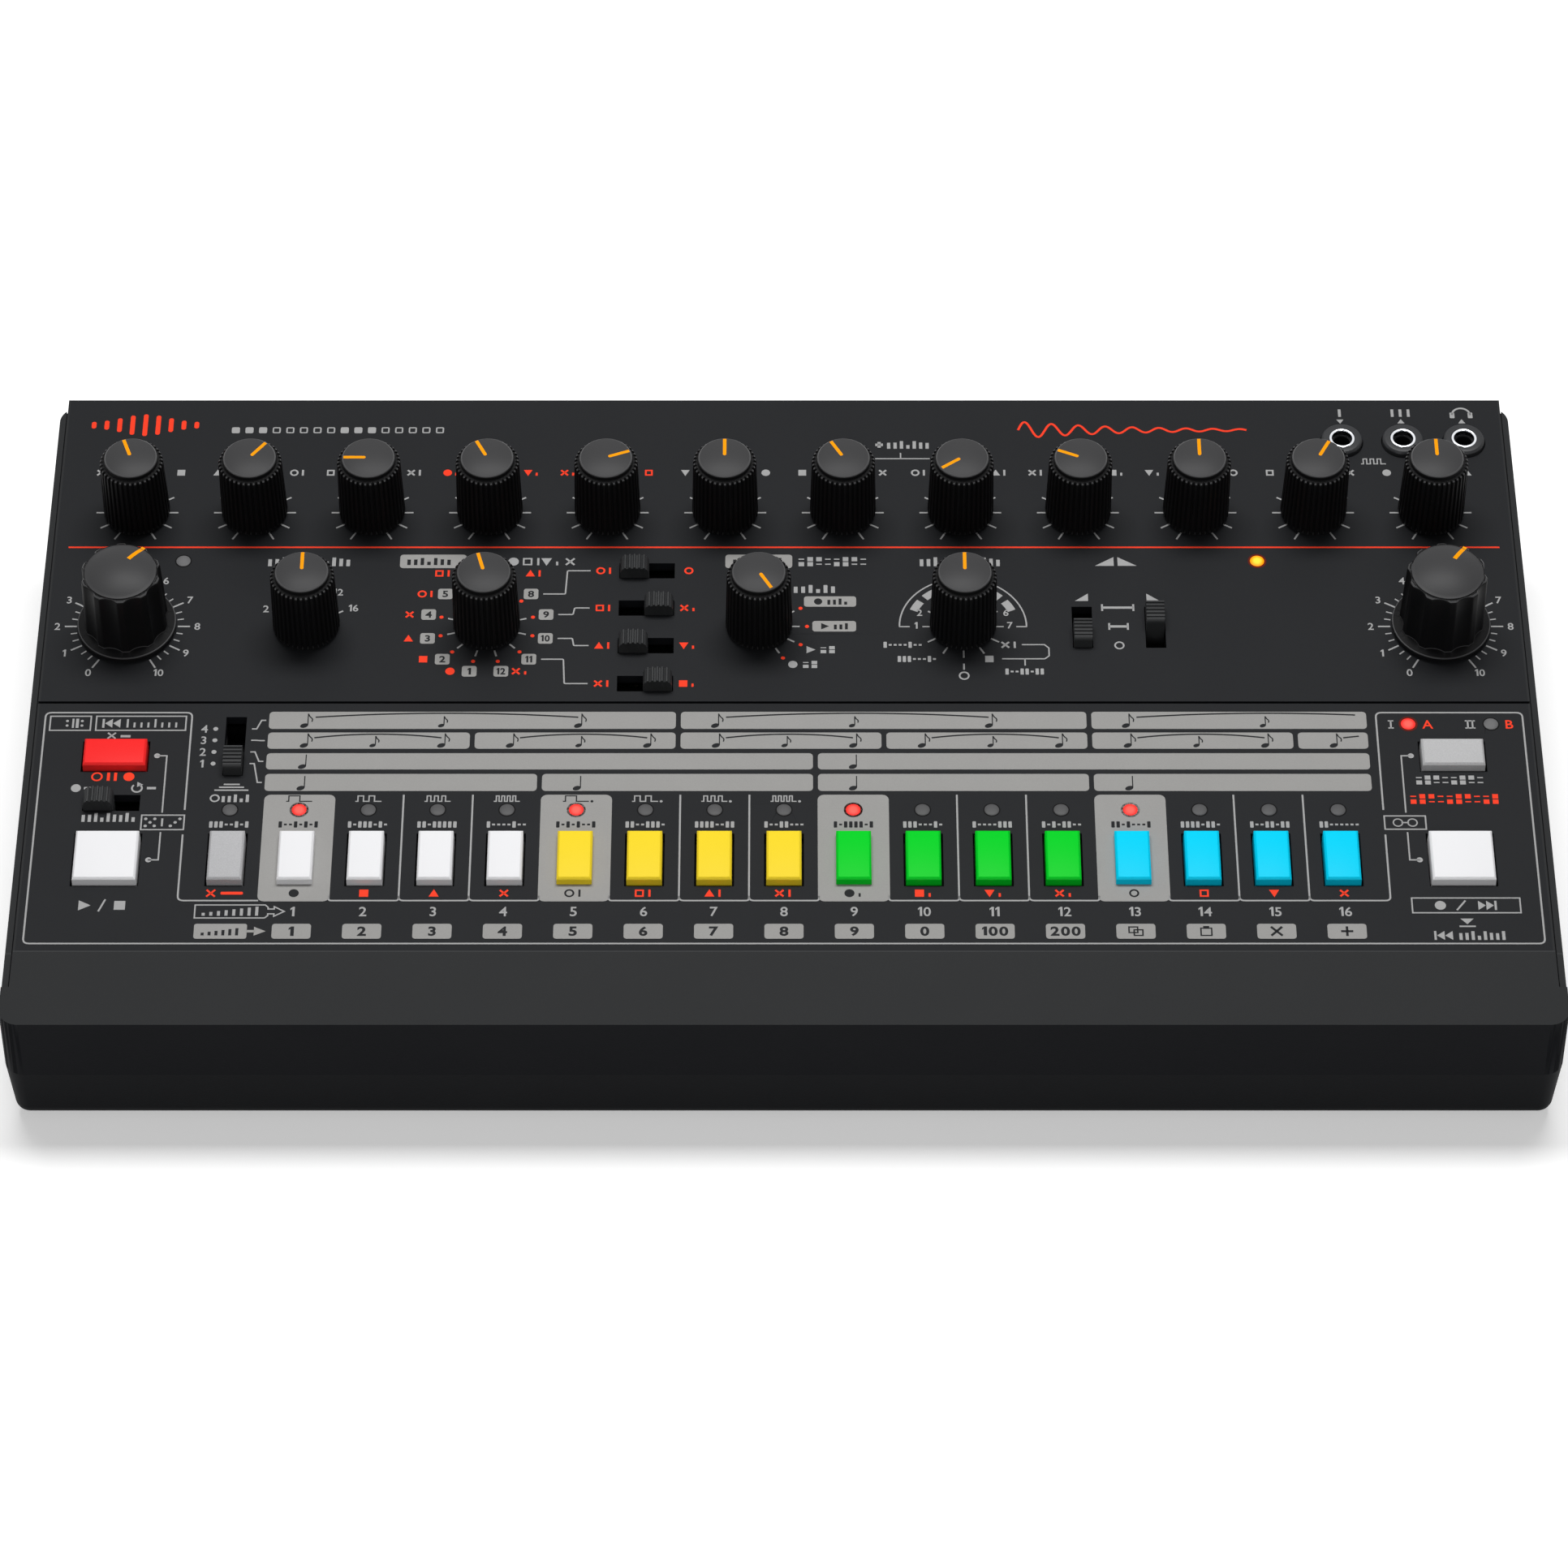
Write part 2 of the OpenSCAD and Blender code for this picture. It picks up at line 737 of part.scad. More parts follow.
module dc_inlet() {
    reach = rear_face - rear_inner;
    difference() {
        union() {
            rear_block(dc_x, dc_body);
            out_of_rear(dc_x, dc_axis_z) translate([0, 0, -eps]) cylinder(h = reach, d = dc_d);
        }
        out_of_rear(dc_x, dc_axis_z) difference() {
            translate([0, 0, reach - 9]) cylinder(h = 10, d = 5.8);
            translate([0, 0, reach - 10]) cylinder(h = 9.5, d = 2);
        }
    }
}

module usb_socket() {
    rim = (usb_body[2] - usb_mouth[2]) / 2;
    tongue = [5.6, usb_mouth[1] - 0.3, 3.2];
    translate([usb_x, rear_face - usb_body[1] / 2, rear_board_h]) difference() {
        block(usb_body[0], usb_body[1], 0, usb_body[2]);
        translate([0, usb_body[1] / 2, 0]) block(usb_mouth[0], 2 * usb_mouth[1], rim, usb_body[2] - rim);
    }
    translate([usb_x, rear_face - usb_mouth[1] + tongue[1] / 2 - eps, rear_board_h])
        block(tongue[0], tongue[1], rim + 2.3, rim + 2.3 + tongue[2]);
}

module output_socket() {
    reach = rear_y + output_proud - rear_inner;
    collar_l = 3.2;
    difference() {
        union() {
            rear_block(output_x, output_body);
            out_of_rear(output_x, rear_axis_z) translate([0, 0, -eps])
                cylinder(h = reach, d = output_barrel_d);
        }
        out_of_rear(output_x, rear_axis_z) translate([0, 0, reach - output_depth])
            cylinder(h = 2 * output_depth, d = output_bore_d);
    }
    out_of_rear(output_x, rear_axis_z) translate([0, 0, reach - collar_l - 0.2]) difference() {
        cylinder(h = collar_l, d = output_collar_d);
        translate([0, 0, -1]) cylinder(h = 2 * collar_l, d = output_barrel_d + shaft_hold);
    }
}

module rear_sockets() {
    color("#26282b") {
        for (x = din_xs) din_socket(x);
        dc_inlet();
        usb_socket();
        output_socket();
    }
}

module power_body() {
    difference() {
        rear_block(power_x, [power_slot_w + 3, 7, 10]);
        translate([power_x, rear_inner, power_z])
            cube([power_slot_w, 11, power_lever_w + 2 * slot_gap], center = true);
    }
}

// ---------------------------------------------------------------- moving pieces

module pot_shaft(top) {
    translate([0, 0, shaft_bottom]) cylinder(h = top - shaft_bottom, d = shaft_d);
}

// Toothed outline that gives the ribs; each rib is a small trapezium
module rib_outline() {
    outer = knob_d / 2 + 0.2;
    inner = knob_top_d / 2 - rib_depth;
    step = 360 / rib_count;
    // Foot and crest of a rib as shares of the step, with the radius there
    rib = [[0.08, inner], [0.3, outer], [0.7, outer], [0.92, inner]];
    polygon([for (i = [0:rib_count - 1], p = rib)
        let (a = (i + p[0]) * step) [p[1] * sin(a), p[1] * cos(a)]]);
}

// Underside of a knob: a skirt cavity round a hub that holds the shaft
module knob_hollow(cavity_r, depth, hub_r) {
    difference() {
        translate([0, 0, -1]) cylinder(h = depth + 1, r = cavity_r);
        translate([0, 0, 2]) cylinder(h = depth, r = hub_r);
    }
    translate([0, 0, -1]) cylinder(h = shaft_top + 1.1, d = shaft_d + shaft_hold);
}

// Pointer line from near the middle out to the rim of the cap
module pointer(length, start, width, h0, h1) {
    translate([-width / 2, start, h0]) cube([width, length - start, h1 - h0]);
    translate([0, start, h0]) cylinder(h = h1 - h0, d = width, $fn = 24);
}

module small_knob(angle) {
    rib_top = knob_h - cap_h;
    // Flat disc on a band that stands a little wider
    cap_disc_t = 0.45;
    cap_chamfer = 0.25;
    cap_ledge = 0.1;
    rotate([0, 0, -angle]) {
        color("#1b1c1e") difference() {
            union() {
                intersection() {
                    translate([0, 0, knob_foot]) linear_extrude(rib_top - knob_foot) rib_outline();
                    rotate_extrude() polygon([
                        [0, knob_foot], [knob_d / 2, knob_foot], [knob_top_d / 2, rib_top - 0.3],
                        [knob_top_d / 2 - 0.3, rib_top], [0, rib_top]
                    ]);
                }
                rotate_extrude() polygon([
                    [0, rib_top - 1], [cap_d / 2 + cap_ledge, rib_top - 1],
                    [cap_d / 2 + cap_ledge, knob_h - cap_disc_t], [cap_d / 2, knob_h - cap_disc_t],
                    [cap_d / 2, knob_h - cap_chamfer], [cap_d / 2 - cap_chamfer, knob_h], [0, knob_h]
                ]);
            }
            knob_hollow(knob_top_d / 2 - rib_depth - 1.1, 11, shaft_d / 2 + 0.9);
            pointer(cap_d / 2 + 1, 0.9, pointer_w, knob_h - 0.3, knob_h + 1);
        }
        color("orange") intersection() {
            pointer(cap_d / 2 + 1, 0.92, pointer_w - 0.04, knob_h - 0.28, knob_h + 0.02);
            translate([0, 0, knob_h - 1]) cylinder(h = 2, d = cap_d - 0.6);
        }
        color("#9a9da1") pot_shaft(shaft_top);
    }
}

module large_knob(angle) {
    // Slope of the skirt from its rim up to the grip, and the round-bottomed flutes
    skirt_rise = 0.2;
    flute_r = 4.3;
    flute_depth = 0.7;
    rotate([0, 0, -angle]) {
        color("#1b1c1e") difference() {
            union() {
                rotate_extrude() polygon([
                    [0, knob_foot], [skirt_d / 2, knob_foot], [skirt_d / 2, skirt_t - skirt_rise],
                    [skirt_d / 2 - skirt_rise, skirt_t], [grip_d / 2, skirt_t + skirt_rise],
                    [0, skirt_t + skirt_rise]
                ]);
                difference() {
                    rotate_extrude() polygon([
                        [0, skirt_t], [grip_d / 2, skirt_t], [grip_top_d / 2, grip_h - 0.6],
                        [grip_top_d / 2 - 0.6, grip_h], [0, grip_h]
                    ]);
                    for (i = [0:flute_count - 1])
                        rotate([0, 0, (i + 0.5) * 360 / flute_count])
                            translate([0, grip_d / 2 + flute_r - flute_depth, skirt_t + skirt_rise])
                                cylinder(h = grip_h, r = flute_r);
                }
                large_dome();
            }
            knob_hollow(grip_top_d / 2 - 2.2, 11, shaft_d / 2 + 1.4);
            pointer(grip_top_d / 2, 1.5, large_pointer_w, grip_h + 0.1, grip_h + dome_h + 1);
        }
        color("orange") intersection() {
            pointer(grip_top_d / 2, 1.52, large_pointer_w - 0.04, grip_h + 0.12, grip_h + dome_h + 1);
            large_dome();
        }
        color("#9a9da1") pot_shaft(shaft_top);
    }
}

// Shallow spherical cap over the grip
module large_dome() {
    cap_r = grip_top_d / 2 - 0.9;
    sphere_r = (cap_r * cap_r + dome_h * dome_h) / (2 * dome_h);
    intersection() {
        translate([0, 0, grip_h + dome_h - sphere_r]) sphere(sphere_r);
        translate([0, 0, grip_h - 1]) cylinder(h = dome_h + 2, r = cap_r);
    }
}

// Key cap with drafted sides, a bevelled top, a hollow underside and a flange that stops it under the
// panel; its post stands on the plunger of the switch
module key(at) {
    w = at[2];
    l = at[3];
    post_w = 2.6;
    plunger_top = switch_top + key_travel + 0.2;
    plunger_bottom = board_top + 0.6 + key_travel;
    on_panel(at[0], at[1]) {
        difference() {
            union() {
                intersection() {
                    rotate([90, 0, 0]) linear_extrude(l, center = true) key_profile(w);
                    rotate([90, 0, 90]) linear_extrude(w, center = true) key_profile(l);
                }
                block(w + 2 * key_flange, l + 2 * key_flange, key_foot, key_foot + 0.8);
            }
            block(w - 2 * key_skin, l - 2 * key_skin, key_foot - 1, key_h - key_skin);
        }
        block(post_w, post_w, plunger_top + shaft_hold / 2, key_h - key_skin / 2);
        translate([0, 0, plunger_bottom]) cylinder(h = plunger_top - plunger_bottom, d = plunger_d);
    }
}

module key_profile(width) {
    draft = 0.08;
    polygon([
        [-width / 2, key_foot], [width / 2, key_foot], [width / 2 - draft, key_h - 0.5 * key_bevel],
        [width / 2 - draft - key_bevel, key_h], [-width / 2 + draft + key_bevel, key_h],
        [-width / 2 + draft, key_h - 0.5 * key_bevel]
    ]);
}

// Lever with an arched grip cut by five grooves; it reaches down into its switch body
module lever(at) {
    on_panel(at[0], at[1]) rotate([0, 0, at[2]]) translate([(at[4] - 0.5) * at[3], 0, 0])
        lever_form(lever_l, lever_w, lever_bottom, lever_h, at[2] == 0 ? 0.5 : 0);
}

module lever_form(l, w, bottom, top, arch) {
    rib_step = l / 6.2;
    groove = 0.45;
    difference() {
        rotate([90, 0, 0]) linear_extrude(w, center = true) polygon([
            [-l / 2, bottom], [l / 2, bottom], [l / 2, 0.4], [l / 2 - 0.25, top - 0.9 - arch],
            [l / 2 - 0.9, top - 0.3 - arch / 2], [l / 4, top], [-l / 4, top],
            [-l / 2 + 0.9, top - 0.3 - arch / 2], [-l / 2 + 0.25, top - 0.9 - arch], [-l / 2, 0.4]
        ]);
        for (i = [-2:2])
            translate([i * rib_step, 0, 0]) block(groove, 2 * w, top - groove, top + 1);
    }
}

module power_lever() {
    color("#15161a") translate([power_x - power_travel / 2, rear_inner, power_z]) rotate([-90, 0, 0])
        lever_form(power_lever_l, power_lever_w, -5, rear_y - rear_inner + 0.6, 0);
}

// ---------------------------------------------------------------- nodes

key_colors = ["#eeeeee", "#ffdf32", "#00d62d", "#00d9ff"];
selector_names = ["variation_selector", "instrument_selector", "mode_selector", "rhythm_selector"];
large_names = ["tempo_knob", "volume_knob"];
function knob_name(i) = str("level_knob_", two_digit(i));
function step_name(i) = str("step_key_", two_digit(i));
function voice_name(i) = str("voice_lever_", i + 1);

top_case();
bottom_case();
circuit_boards();
potentiometers();
key_switches();
slide_switches();
top_jacks();
leds_lit();
leds_off();
rear_sockets();
feet();
screws();
for (i = [1:knob_count])
    on_panel(knob_u(i), knob_row) small_knob(knob_angles[i - 1]);
for (i = [0:1])
    on_panel(large_shafts[i][0], selector_row) large_knob(large_angles[i]);
for (i = [0:3])
    on_panel(selector_us[i], selector_row) small_knob(selector_angles[i]);
for (i = [0:3])
    color("#232427") lever(voice_levers[i]);
color("#232427") lever(auto_lever_at);  // auto_lever
color("#232427") lever(fade_in_at);  // fade_in_lever
color("#232427") lever(fade_out_at);  // fade_out_lever
color("#232427") lever(scale_lever_at);  // scale_lever
for (i = [1:step_count])
    color(key_colors[floor((i - 1) / 4)]) key(step_keys[i - 1]);
color("#8f8f91") key(function_key_at);  // function_key
color("#eeeeee") key(start_key_at);  // start_key
color("#eeeeee") key(write_key_at);  // write_key
color("#ff3232") key(clear_key_at);  // clear_key
color("#b4b4b4") key(pattern_key_at);  // pattern_key
power_lever();
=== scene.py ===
"""Looks of a desktop drum machine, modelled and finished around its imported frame.

Places on the panel are (u, v, h) in millimetres: u to the right, v up the slope from the front face, and h
off the panel.
"""

import json
from math import atan2, cos, exp, hypot, pi, radians, sin, sqrt, tau

import bmesh
import bpy
from bpy.props import FloatProperty, FloatVectorProperty, IntProperty, PointerProperty
from mathutils import Matrix, Vector


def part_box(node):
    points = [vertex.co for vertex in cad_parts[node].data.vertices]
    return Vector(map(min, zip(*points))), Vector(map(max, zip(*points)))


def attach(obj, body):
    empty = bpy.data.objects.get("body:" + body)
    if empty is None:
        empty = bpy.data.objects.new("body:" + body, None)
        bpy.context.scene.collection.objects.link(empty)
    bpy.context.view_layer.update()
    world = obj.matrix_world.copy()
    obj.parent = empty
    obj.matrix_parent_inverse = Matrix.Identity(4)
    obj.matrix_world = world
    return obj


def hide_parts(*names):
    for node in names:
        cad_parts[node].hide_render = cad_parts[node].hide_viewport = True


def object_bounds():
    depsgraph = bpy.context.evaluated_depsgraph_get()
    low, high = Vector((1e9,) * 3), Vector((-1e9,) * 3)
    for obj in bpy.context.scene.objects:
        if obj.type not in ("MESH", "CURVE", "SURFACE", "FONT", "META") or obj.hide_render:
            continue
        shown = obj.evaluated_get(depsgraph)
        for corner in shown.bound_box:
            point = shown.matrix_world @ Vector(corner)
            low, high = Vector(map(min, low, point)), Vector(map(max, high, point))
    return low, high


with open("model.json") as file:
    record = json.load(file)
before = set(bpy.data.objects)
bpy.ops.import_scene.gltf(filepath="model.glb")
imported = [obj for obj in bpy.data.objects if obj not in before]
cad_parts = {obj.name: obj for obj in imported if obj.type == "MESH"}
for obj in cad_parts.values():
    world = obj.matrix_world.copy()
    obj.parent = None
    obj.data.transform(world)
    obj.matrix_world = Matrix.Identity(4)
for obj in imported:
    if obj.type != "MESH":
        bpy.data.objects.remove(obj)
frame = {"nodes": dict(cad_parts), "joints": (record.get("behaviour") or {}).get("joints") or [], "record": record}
cad_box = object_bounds()

bl_info = {
    "name": "Drum Machine Looks",
    "version": (1, 0, 0),
    "blender": (4, 5, 0),
    "location": "3D View > Sidebar > Drum Machine",
    "description": "Knobs, keys, lamps, sockets, print and finishes of a desktop drum machine",
    "category": "Object",
}

MM = 0.001
LEVEL_KNOBS = [f"level_knob_{i:02d}" for i in range(1, 13)]
SMALL_KNOBS = LEVEL_KNOBS + ["variation_selector", "instrument_selector", "mode_selector", "rhythm_selector"]
LARGE_KNOBS = ["tempo_knob", "volume_knob"]
STEP_KEYS = [f"step_key_{i:02d}" for i in range(1, 17)]
VOICE_LEVERS = [f"voice_lever_{i}" for i in range(1, 5)]
WIDE_LEVERS = VOICE_LEVERS + ["auto_lever"]
TALL_LEVERS = ["fade_in_lever", "fade_out_lever", "scale_lever"]
TOP_SOCKETS = ["trigger_out", "sync_in", "sync_out"]
# what stands over this height is a lever's grip
GRIP_ABOVE = 0.3
# the panel's painted shade, darker than the shell round it, ends at this half width, and at the bend in front
PANEL_HALF = 150.5
PANEL_BEND = 18.5
# half the width of the painted highlight along the bend
BEND_HIGHLIGHT = 0.14


def srgb(red, green, blue):
    """Linear colour of an sRGB one given from 0 to 255"""
    def linear(value):
        share = value / 255
        return ((share + 0.055) / 1.055) ** 2.4 if share > 0.04045 else share / 12.92
    return tuple(linear(value) for value in (red, green, blue))


# ---------------------------------------------------------------- what a user may change


def colour_prop(name, about, default):
    return FloatVectorProperty(name=name, description=about, subtype="COLOR", size=3, min=0, max=1,
                               default=default)


def length_prop(name, about, millimetres):
    return FloatProperty(name=name, description=about, unit="LENGTH", min=0, default=millimetres * MM)


class DrumColours(bpy.types.PropertyGroup):
    """Colours of the mouldings, the keys, the lamps and the print"""

    case: colour_prop("Case", "Upper shell round the control panel", srgb(44, 45, 46))
    # painted shade: the panel inside its border is painted darker than the shell round it
    panel: colour_prop("Panel", "Matt coat of the control panel", srgb(35, 36, 38))
    # painted shade: steep walls of the same moulding are painted darker than its tops, as less light falls on them
    wall: colour_prop("Wall", "Steep walls of the upper shell", srgb(24, 25, 28))
    base: colour_prop("Base", "Lower shell", srgb(28, 29, 31))
    # painted shade: the sides are painted much darker than the caps of the same moulding, as shade falls on them
    knob: colour_prop("Knob side", "Ribbed and fluted sides of the knobs", srgb(14, 14, 15))
    cap: colour_prop("Knob cap", "Smooth tops of the knobs", srgb(58, 58, 59))
    # painted highlight: the upper ends of the ribs and flutes are painted lighter, as they catch the light
    rib_edge: colour_prop("Rib edge", "Worn upper ends of the ribs and flutes", srgb(78, 78, 79))
    pointer: colour_prop("Pointer", "Line on the knobs", srgb(255, 163, 0))
    lever: colour_prop("Lever", "Slide switch levers", srgb(42, 43, 44))
    white: colour_prop("White key", "First four steps, start and write keys", srgb(244, 244, 246))
    yellow: colour_prop("Yellow key", "Second four steps", srgb(255, 224, 48))
    green: colour_prop("Green key", "Third four steps", srgb(0, 214, 42))
    cyan: colour_prop("Cyan key", "Last four steps", srgb(0, 218, 255))
    red: colour_prop("Red key", "Clear key", srgb(255, 46, 46))
    grey: colour_prop("Grey key", "Function key", srgb(188, 188, 190))
    light_grey: colour_prop("Light grey key", "Pattern key", srgb(191, 191, 192))
    lit: colour_prop("Lit lamp", "Red lamps that are on", srgb(240, 50, 44))
    status: colour_prop("Status lamp", "Orange lamp over the levers", srgb(255, 150, 0))
    unlit: colour_prop("Unlit lamp", "Lamps that are off", srgb(84, 84, 85))
    print_grey: colour_prop("Grey print", "Lines, numbers and signs", srgb(168, 168, 168))
    print_field: colour_prop("Field print", "Filled bars and columns", srgb(158, 157, 155))
    print_red: colour_prop("Red print", "Red lines and signs", srgb(255, 68, 40))
    print_dark: colour_prop("Dark print", "Signs on the filled bars", srgb(33, 34, 36))


class DrumSizes(bpy.types.PropertyGroup):
    """Sizes of the fine forms that the frame leaves to the looks"""

    shell_edge: length_prop("Shell edge", "Rounding of the edges of the shells", 0.3)
    key_edge: length_prop("Key edge", "Rounding of the edges of a key", 0.06)
    rib_depth: length_prop("Rib depth", "Depth of the grooves between the ribs of a knob", 0.45)
    pointer: length_prop("Pointer width", "Width of the line on a small knob", 0.72)
    large_pointer: length_prop("Large pointer width", "Width of the line on a large knob", 0.85)
    ink: length_prop("Ink", "Thickness of the print", 0.02)
    line: length_prop("Print line", "Width of the frame lines", 0.36)
    tick: length_prop("Tick line", "Width of the marks round the knobs", 0.36)
    ribs: IntProperty(name="Ribs", description="Ribs round a small knob", min=12, default=38)
    flutes: IntProperty(name="Flutes", description="Flutes round a large knob", min=6, default=10)


class DrumStage(bpy.types.PropertyGroup):
    """Camera and lamps"""

    distance: FloatProperty(name="Camera distance", description="From the front face, along the floor",
                            unit="LENGTH", default=0.7816)
    height: FloatProperty(name="Camera height", description="Over the floor", unit="LENGTH", default=0.8967)
    pitch: FloatProperty(name="Camera pitch", description="Below the horizon", subtype="ANGLE",
                         default=radians(45.7))
    lens: FloatProperty(name="Lens", description="Focal length in millimetres on a 36 mm sensor",
                        default=138.36)
    key_light: FloatProperty(name="Overhead lamp", description="Power in watts", default=12.6)
    fill_light: FloatProperty(name="Front lamp", description="Power in watts", default=5.5)
    sky: FloatProperty(name="Sky", description="Strength of the even light from all round", default=0.12)


def colours():
    return bpy.context.scene.drum_colours


def size(name):
    """One of the sizes, in millimetres"""
    return getattr(bpy.context.scene.drum_sizes, name) / MM


# ---------------------------------------------------------------- places from the frame


def joint_of(body):
    return next(joint for joint in frame["joints"] if joint["child"] == body)


def panel_matrix():
    """Takes a panel place in millimetres to the frame's metres"""
    joint = joint_of("tempo_knob")
    out = Vector(joint["axis"]).normalized()
    across = Vector((1, 0, 0))
    up = out.cross(across)
    spot = Vector(joint["pos_m"])
    origin = spot - up * ((spot.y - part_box("top_case")[0].y) / up.y)
    origin.x = 0
    axes = Matrix((across, up, out)).transposed().to_4x4()
    return Matrix.Translation(origin) @ axes @ Matrix.Scale(MM, 4)


PANEL = panel_matrix()
ONTO_PANEL = PANEL.inverted()


def panel_place(point):
    spot = ONTO_PANEL @ Vector(point)
    return spot.x, spot.y


def axis_place(body):
    """(u, v) of a turning piece"""
    return panel_place(joint_of(body)["pos_m"])


def panel_extent(node, above):
    """Lowest and highest corner on the panel of what stands over a height in a node"""
    spots = [ONTO_PANEL @ vertex.co for vertex in frame["nodes"][node].data.vertices]
    spots = [spot for spot in spots if spot.z > above]
    return Vector(map(min, *spots)), Vector(map(max, *spots))


def centre_of(low, high):
    """(u, v) halfway between two corners"""
    return (low.x + high.x) / 2, (low.y + high.y) / 2


def solids_in(node):
    """Lowest and highest corner of each separate solid of a node, in metres"""
    bm = bmesh.new()
    bm.from_mesh(frame["nodes"][node].data)
    bmesh.ops.remove_doubles(bm, verts=bm.verts, dist=1e-6)
    left, found = set(bm.verts), []
    while left:
        group, edge = set(), [left.pop()]
        while edge:
            vertex = edge.pop()
            group.add(vertex)
            for link in vertex.link_edges:
                other = link.other_vert(vertex)
                if other in left:
                    left.discard(other)
                    edge.append(other)
        spots = [vertex.co for vertex in group]
        found.append((Vector(map(min, *spots)), Vector(map(max, *spots))))
    bm.free()
    return found


def mount(name):
    return next(row for row in frame["record"]["mounts"] if row["name"] == name)


def at(u=0.0, v=0.0, h=0.0, turn=0.0, stretch=(1, 1, 1)):
    """Matrix of a place on the panel, in millimetres; turn is anticlockwise in degrees"""
    turned = Matrix.Rotation(radians(turn), 4, "Z") @ Matrix.Diagonal((*stretch, 1))
    return Matrix.Translation((u, v, h)) @ turned


# ---------------------------------------------------------------- finishes


class Tree:
    """Short way to place and join nodes"""

    def __init__(self, tree):
        self.tree = tree

    def add(self, kind, ins=(), **settings):
        made = self.tree.nodes.new(f"ShaderNode{kind}")
        for name, value in settings.items():
            setattr(made, name, value)
        for name, value in dict(ins).items():
            if isinstance(value, bpy.types.NodeSocket):
                self.tree.links.new(value, made.inputs[name])
            else:
                made.inputs[name].default_value = value
        return made

    def use(self, effect, ins):
        """Places one of the shared effects and returns its result"""
        return self.add("Group", ins, node_tree=bpy.data.node_groups[effect]).outputs[0]

    def maths(self, operation, *values, clamp=False):
        return self.add("Math", enumerate(values), operation=operation, use_clamp=clamp).outputs[0]

    def mix(self, share, first, second):
        """First colour at a share of 0, second at 1"""
        return self.add("Mix", {0: share, 6: first, 7: second}, data_type="RGBA").outputs[2]


def new_effect(name, inputs, result, kind):
    """A node group with one result; returns its tree, what it is given, and the way to give its result"""
    group = bpy.data.node_groups.new(name, "ShaderNodeTree")
    for title, sort, default in inputs:
        made = group.interface.new_socket(title, in_out="INPUT", socket_type=f"NodeSocket{sort}")
        if default is not None:
            made.default_value = default
    group.interface.new_socket(result, in_out="OUTPUT", socket_type=f"NodeSocket{kind}")
    start = group.nodes.new("NodeGroupInput")
    end = group.nodes.new("NodeGroupOutput")
    return Tree(group), start.outputs, lambda value: group.links.new(value, end.inputs[0])


def build_effects():
    """Effects that several finishes share"""
    tree, given, give = new_effect(
        "Moulded Grain",
        [("Vector", "Vector", None), ("Scale", "Float", 2600.0), ("Roundness", "Float", 0.5)],
        "Height", "Float")
    fine = tree.add("TexNoise", {"Vector": given["Vector"], "Scale": given["Scale"], "Detail": 2.0})
    cell = tree.add("TexVoronoi", {"Vector": given["Vector"], "Scale": given["Scale"]})
    mixed = tree.add("Mix", {0: given["Roundness"], 2: fine.outputs["Fac"], 3: cell.outputs["Distance"]})
    give(mixed.outputs[0])

    tree, given, give = new_effect(
        "Uneven Tone",
        [("Vector", "Vector", None), ("Color", "Color", (0.5, 0.5, 0.5, 1)), ("Scale", "Float", 30.0),
         ("Amount", "Float", 0.08), ("Speckle", "Float", 0.0)],
        "Color", "Color")
    cloud = tree.add("TexNoise", {"Vector": given["Vector"], "Scale": given["Scale"], "Detail": 3.0})
    grain = tree.add("TexNoise", {"Vector": given["Vector"], "Scale": 3800.0, "Detail": 1.0})
    shift = tree.maths("SUBTRACT", cloud.outputs["Fac"], 0.5)
    swing = tree.maths("MULTIPLY_ADD", shift, given["Amount"], 1.0)
    fleck = tree.maths("SUBTRACT", grain.outputs["Fac"], 0.5)
    level = tree.maths("MULTIPLY_ADD", fleck, given["Speckle"], swing)
    give(tree.add("HueSaturation", {"Color": given["Color"], "Value": level}).outputs["Color"])

    tree, given, give = new_effect(
        "Handling Marks",
        [("Vector", "Vector", None), ("Roughness", "Float", 0.5), ("Amount", "Float", 0.08)],
        "Roughness", "Float")
    smear = tree.add("TexNoise", {"Vector": given["Vector"], "Scale": 55.0, "Detail": 4.0, "Distortion": 0.6})
    shift = tree.maths("SUBTRACT", smear.outputs["Fac"], 0.5)
    give(tree.maths("MULTIPLY_ADD", shift, given["Amount"], given["Roughness"], clamp=True))

    # painted highlight with a little wear: sharp convex edges are painted lighter
    tree, given, give = new_effect(
        "Edge Wear",
        [("Color", "Color", (0.5, 0.5, 0.5, 1)), ("Worn", "Color", (0.6, 0.6, 0.6, 1)),
         ("Amount", "Float", 0.3)],
        "Color", "Color")
    shape = tree.add("NewGeometry")
    edge = tree.add("MapRange", {"Value": shape.outputs["Pointiness"], "From Min": 0.51, "From Max": 0.62})
    share = tree.maths("MULTIPLY", edge.outputs["Result"], given["Amount"], clamp=True)
    give(tree.mix(share, given["Color"], given["Worn"]))


def rgba(colour, share=1.0):
    """A colour at a share of its strength, with full alpha"""
    return (*(part * share for part in colour), 1.0)


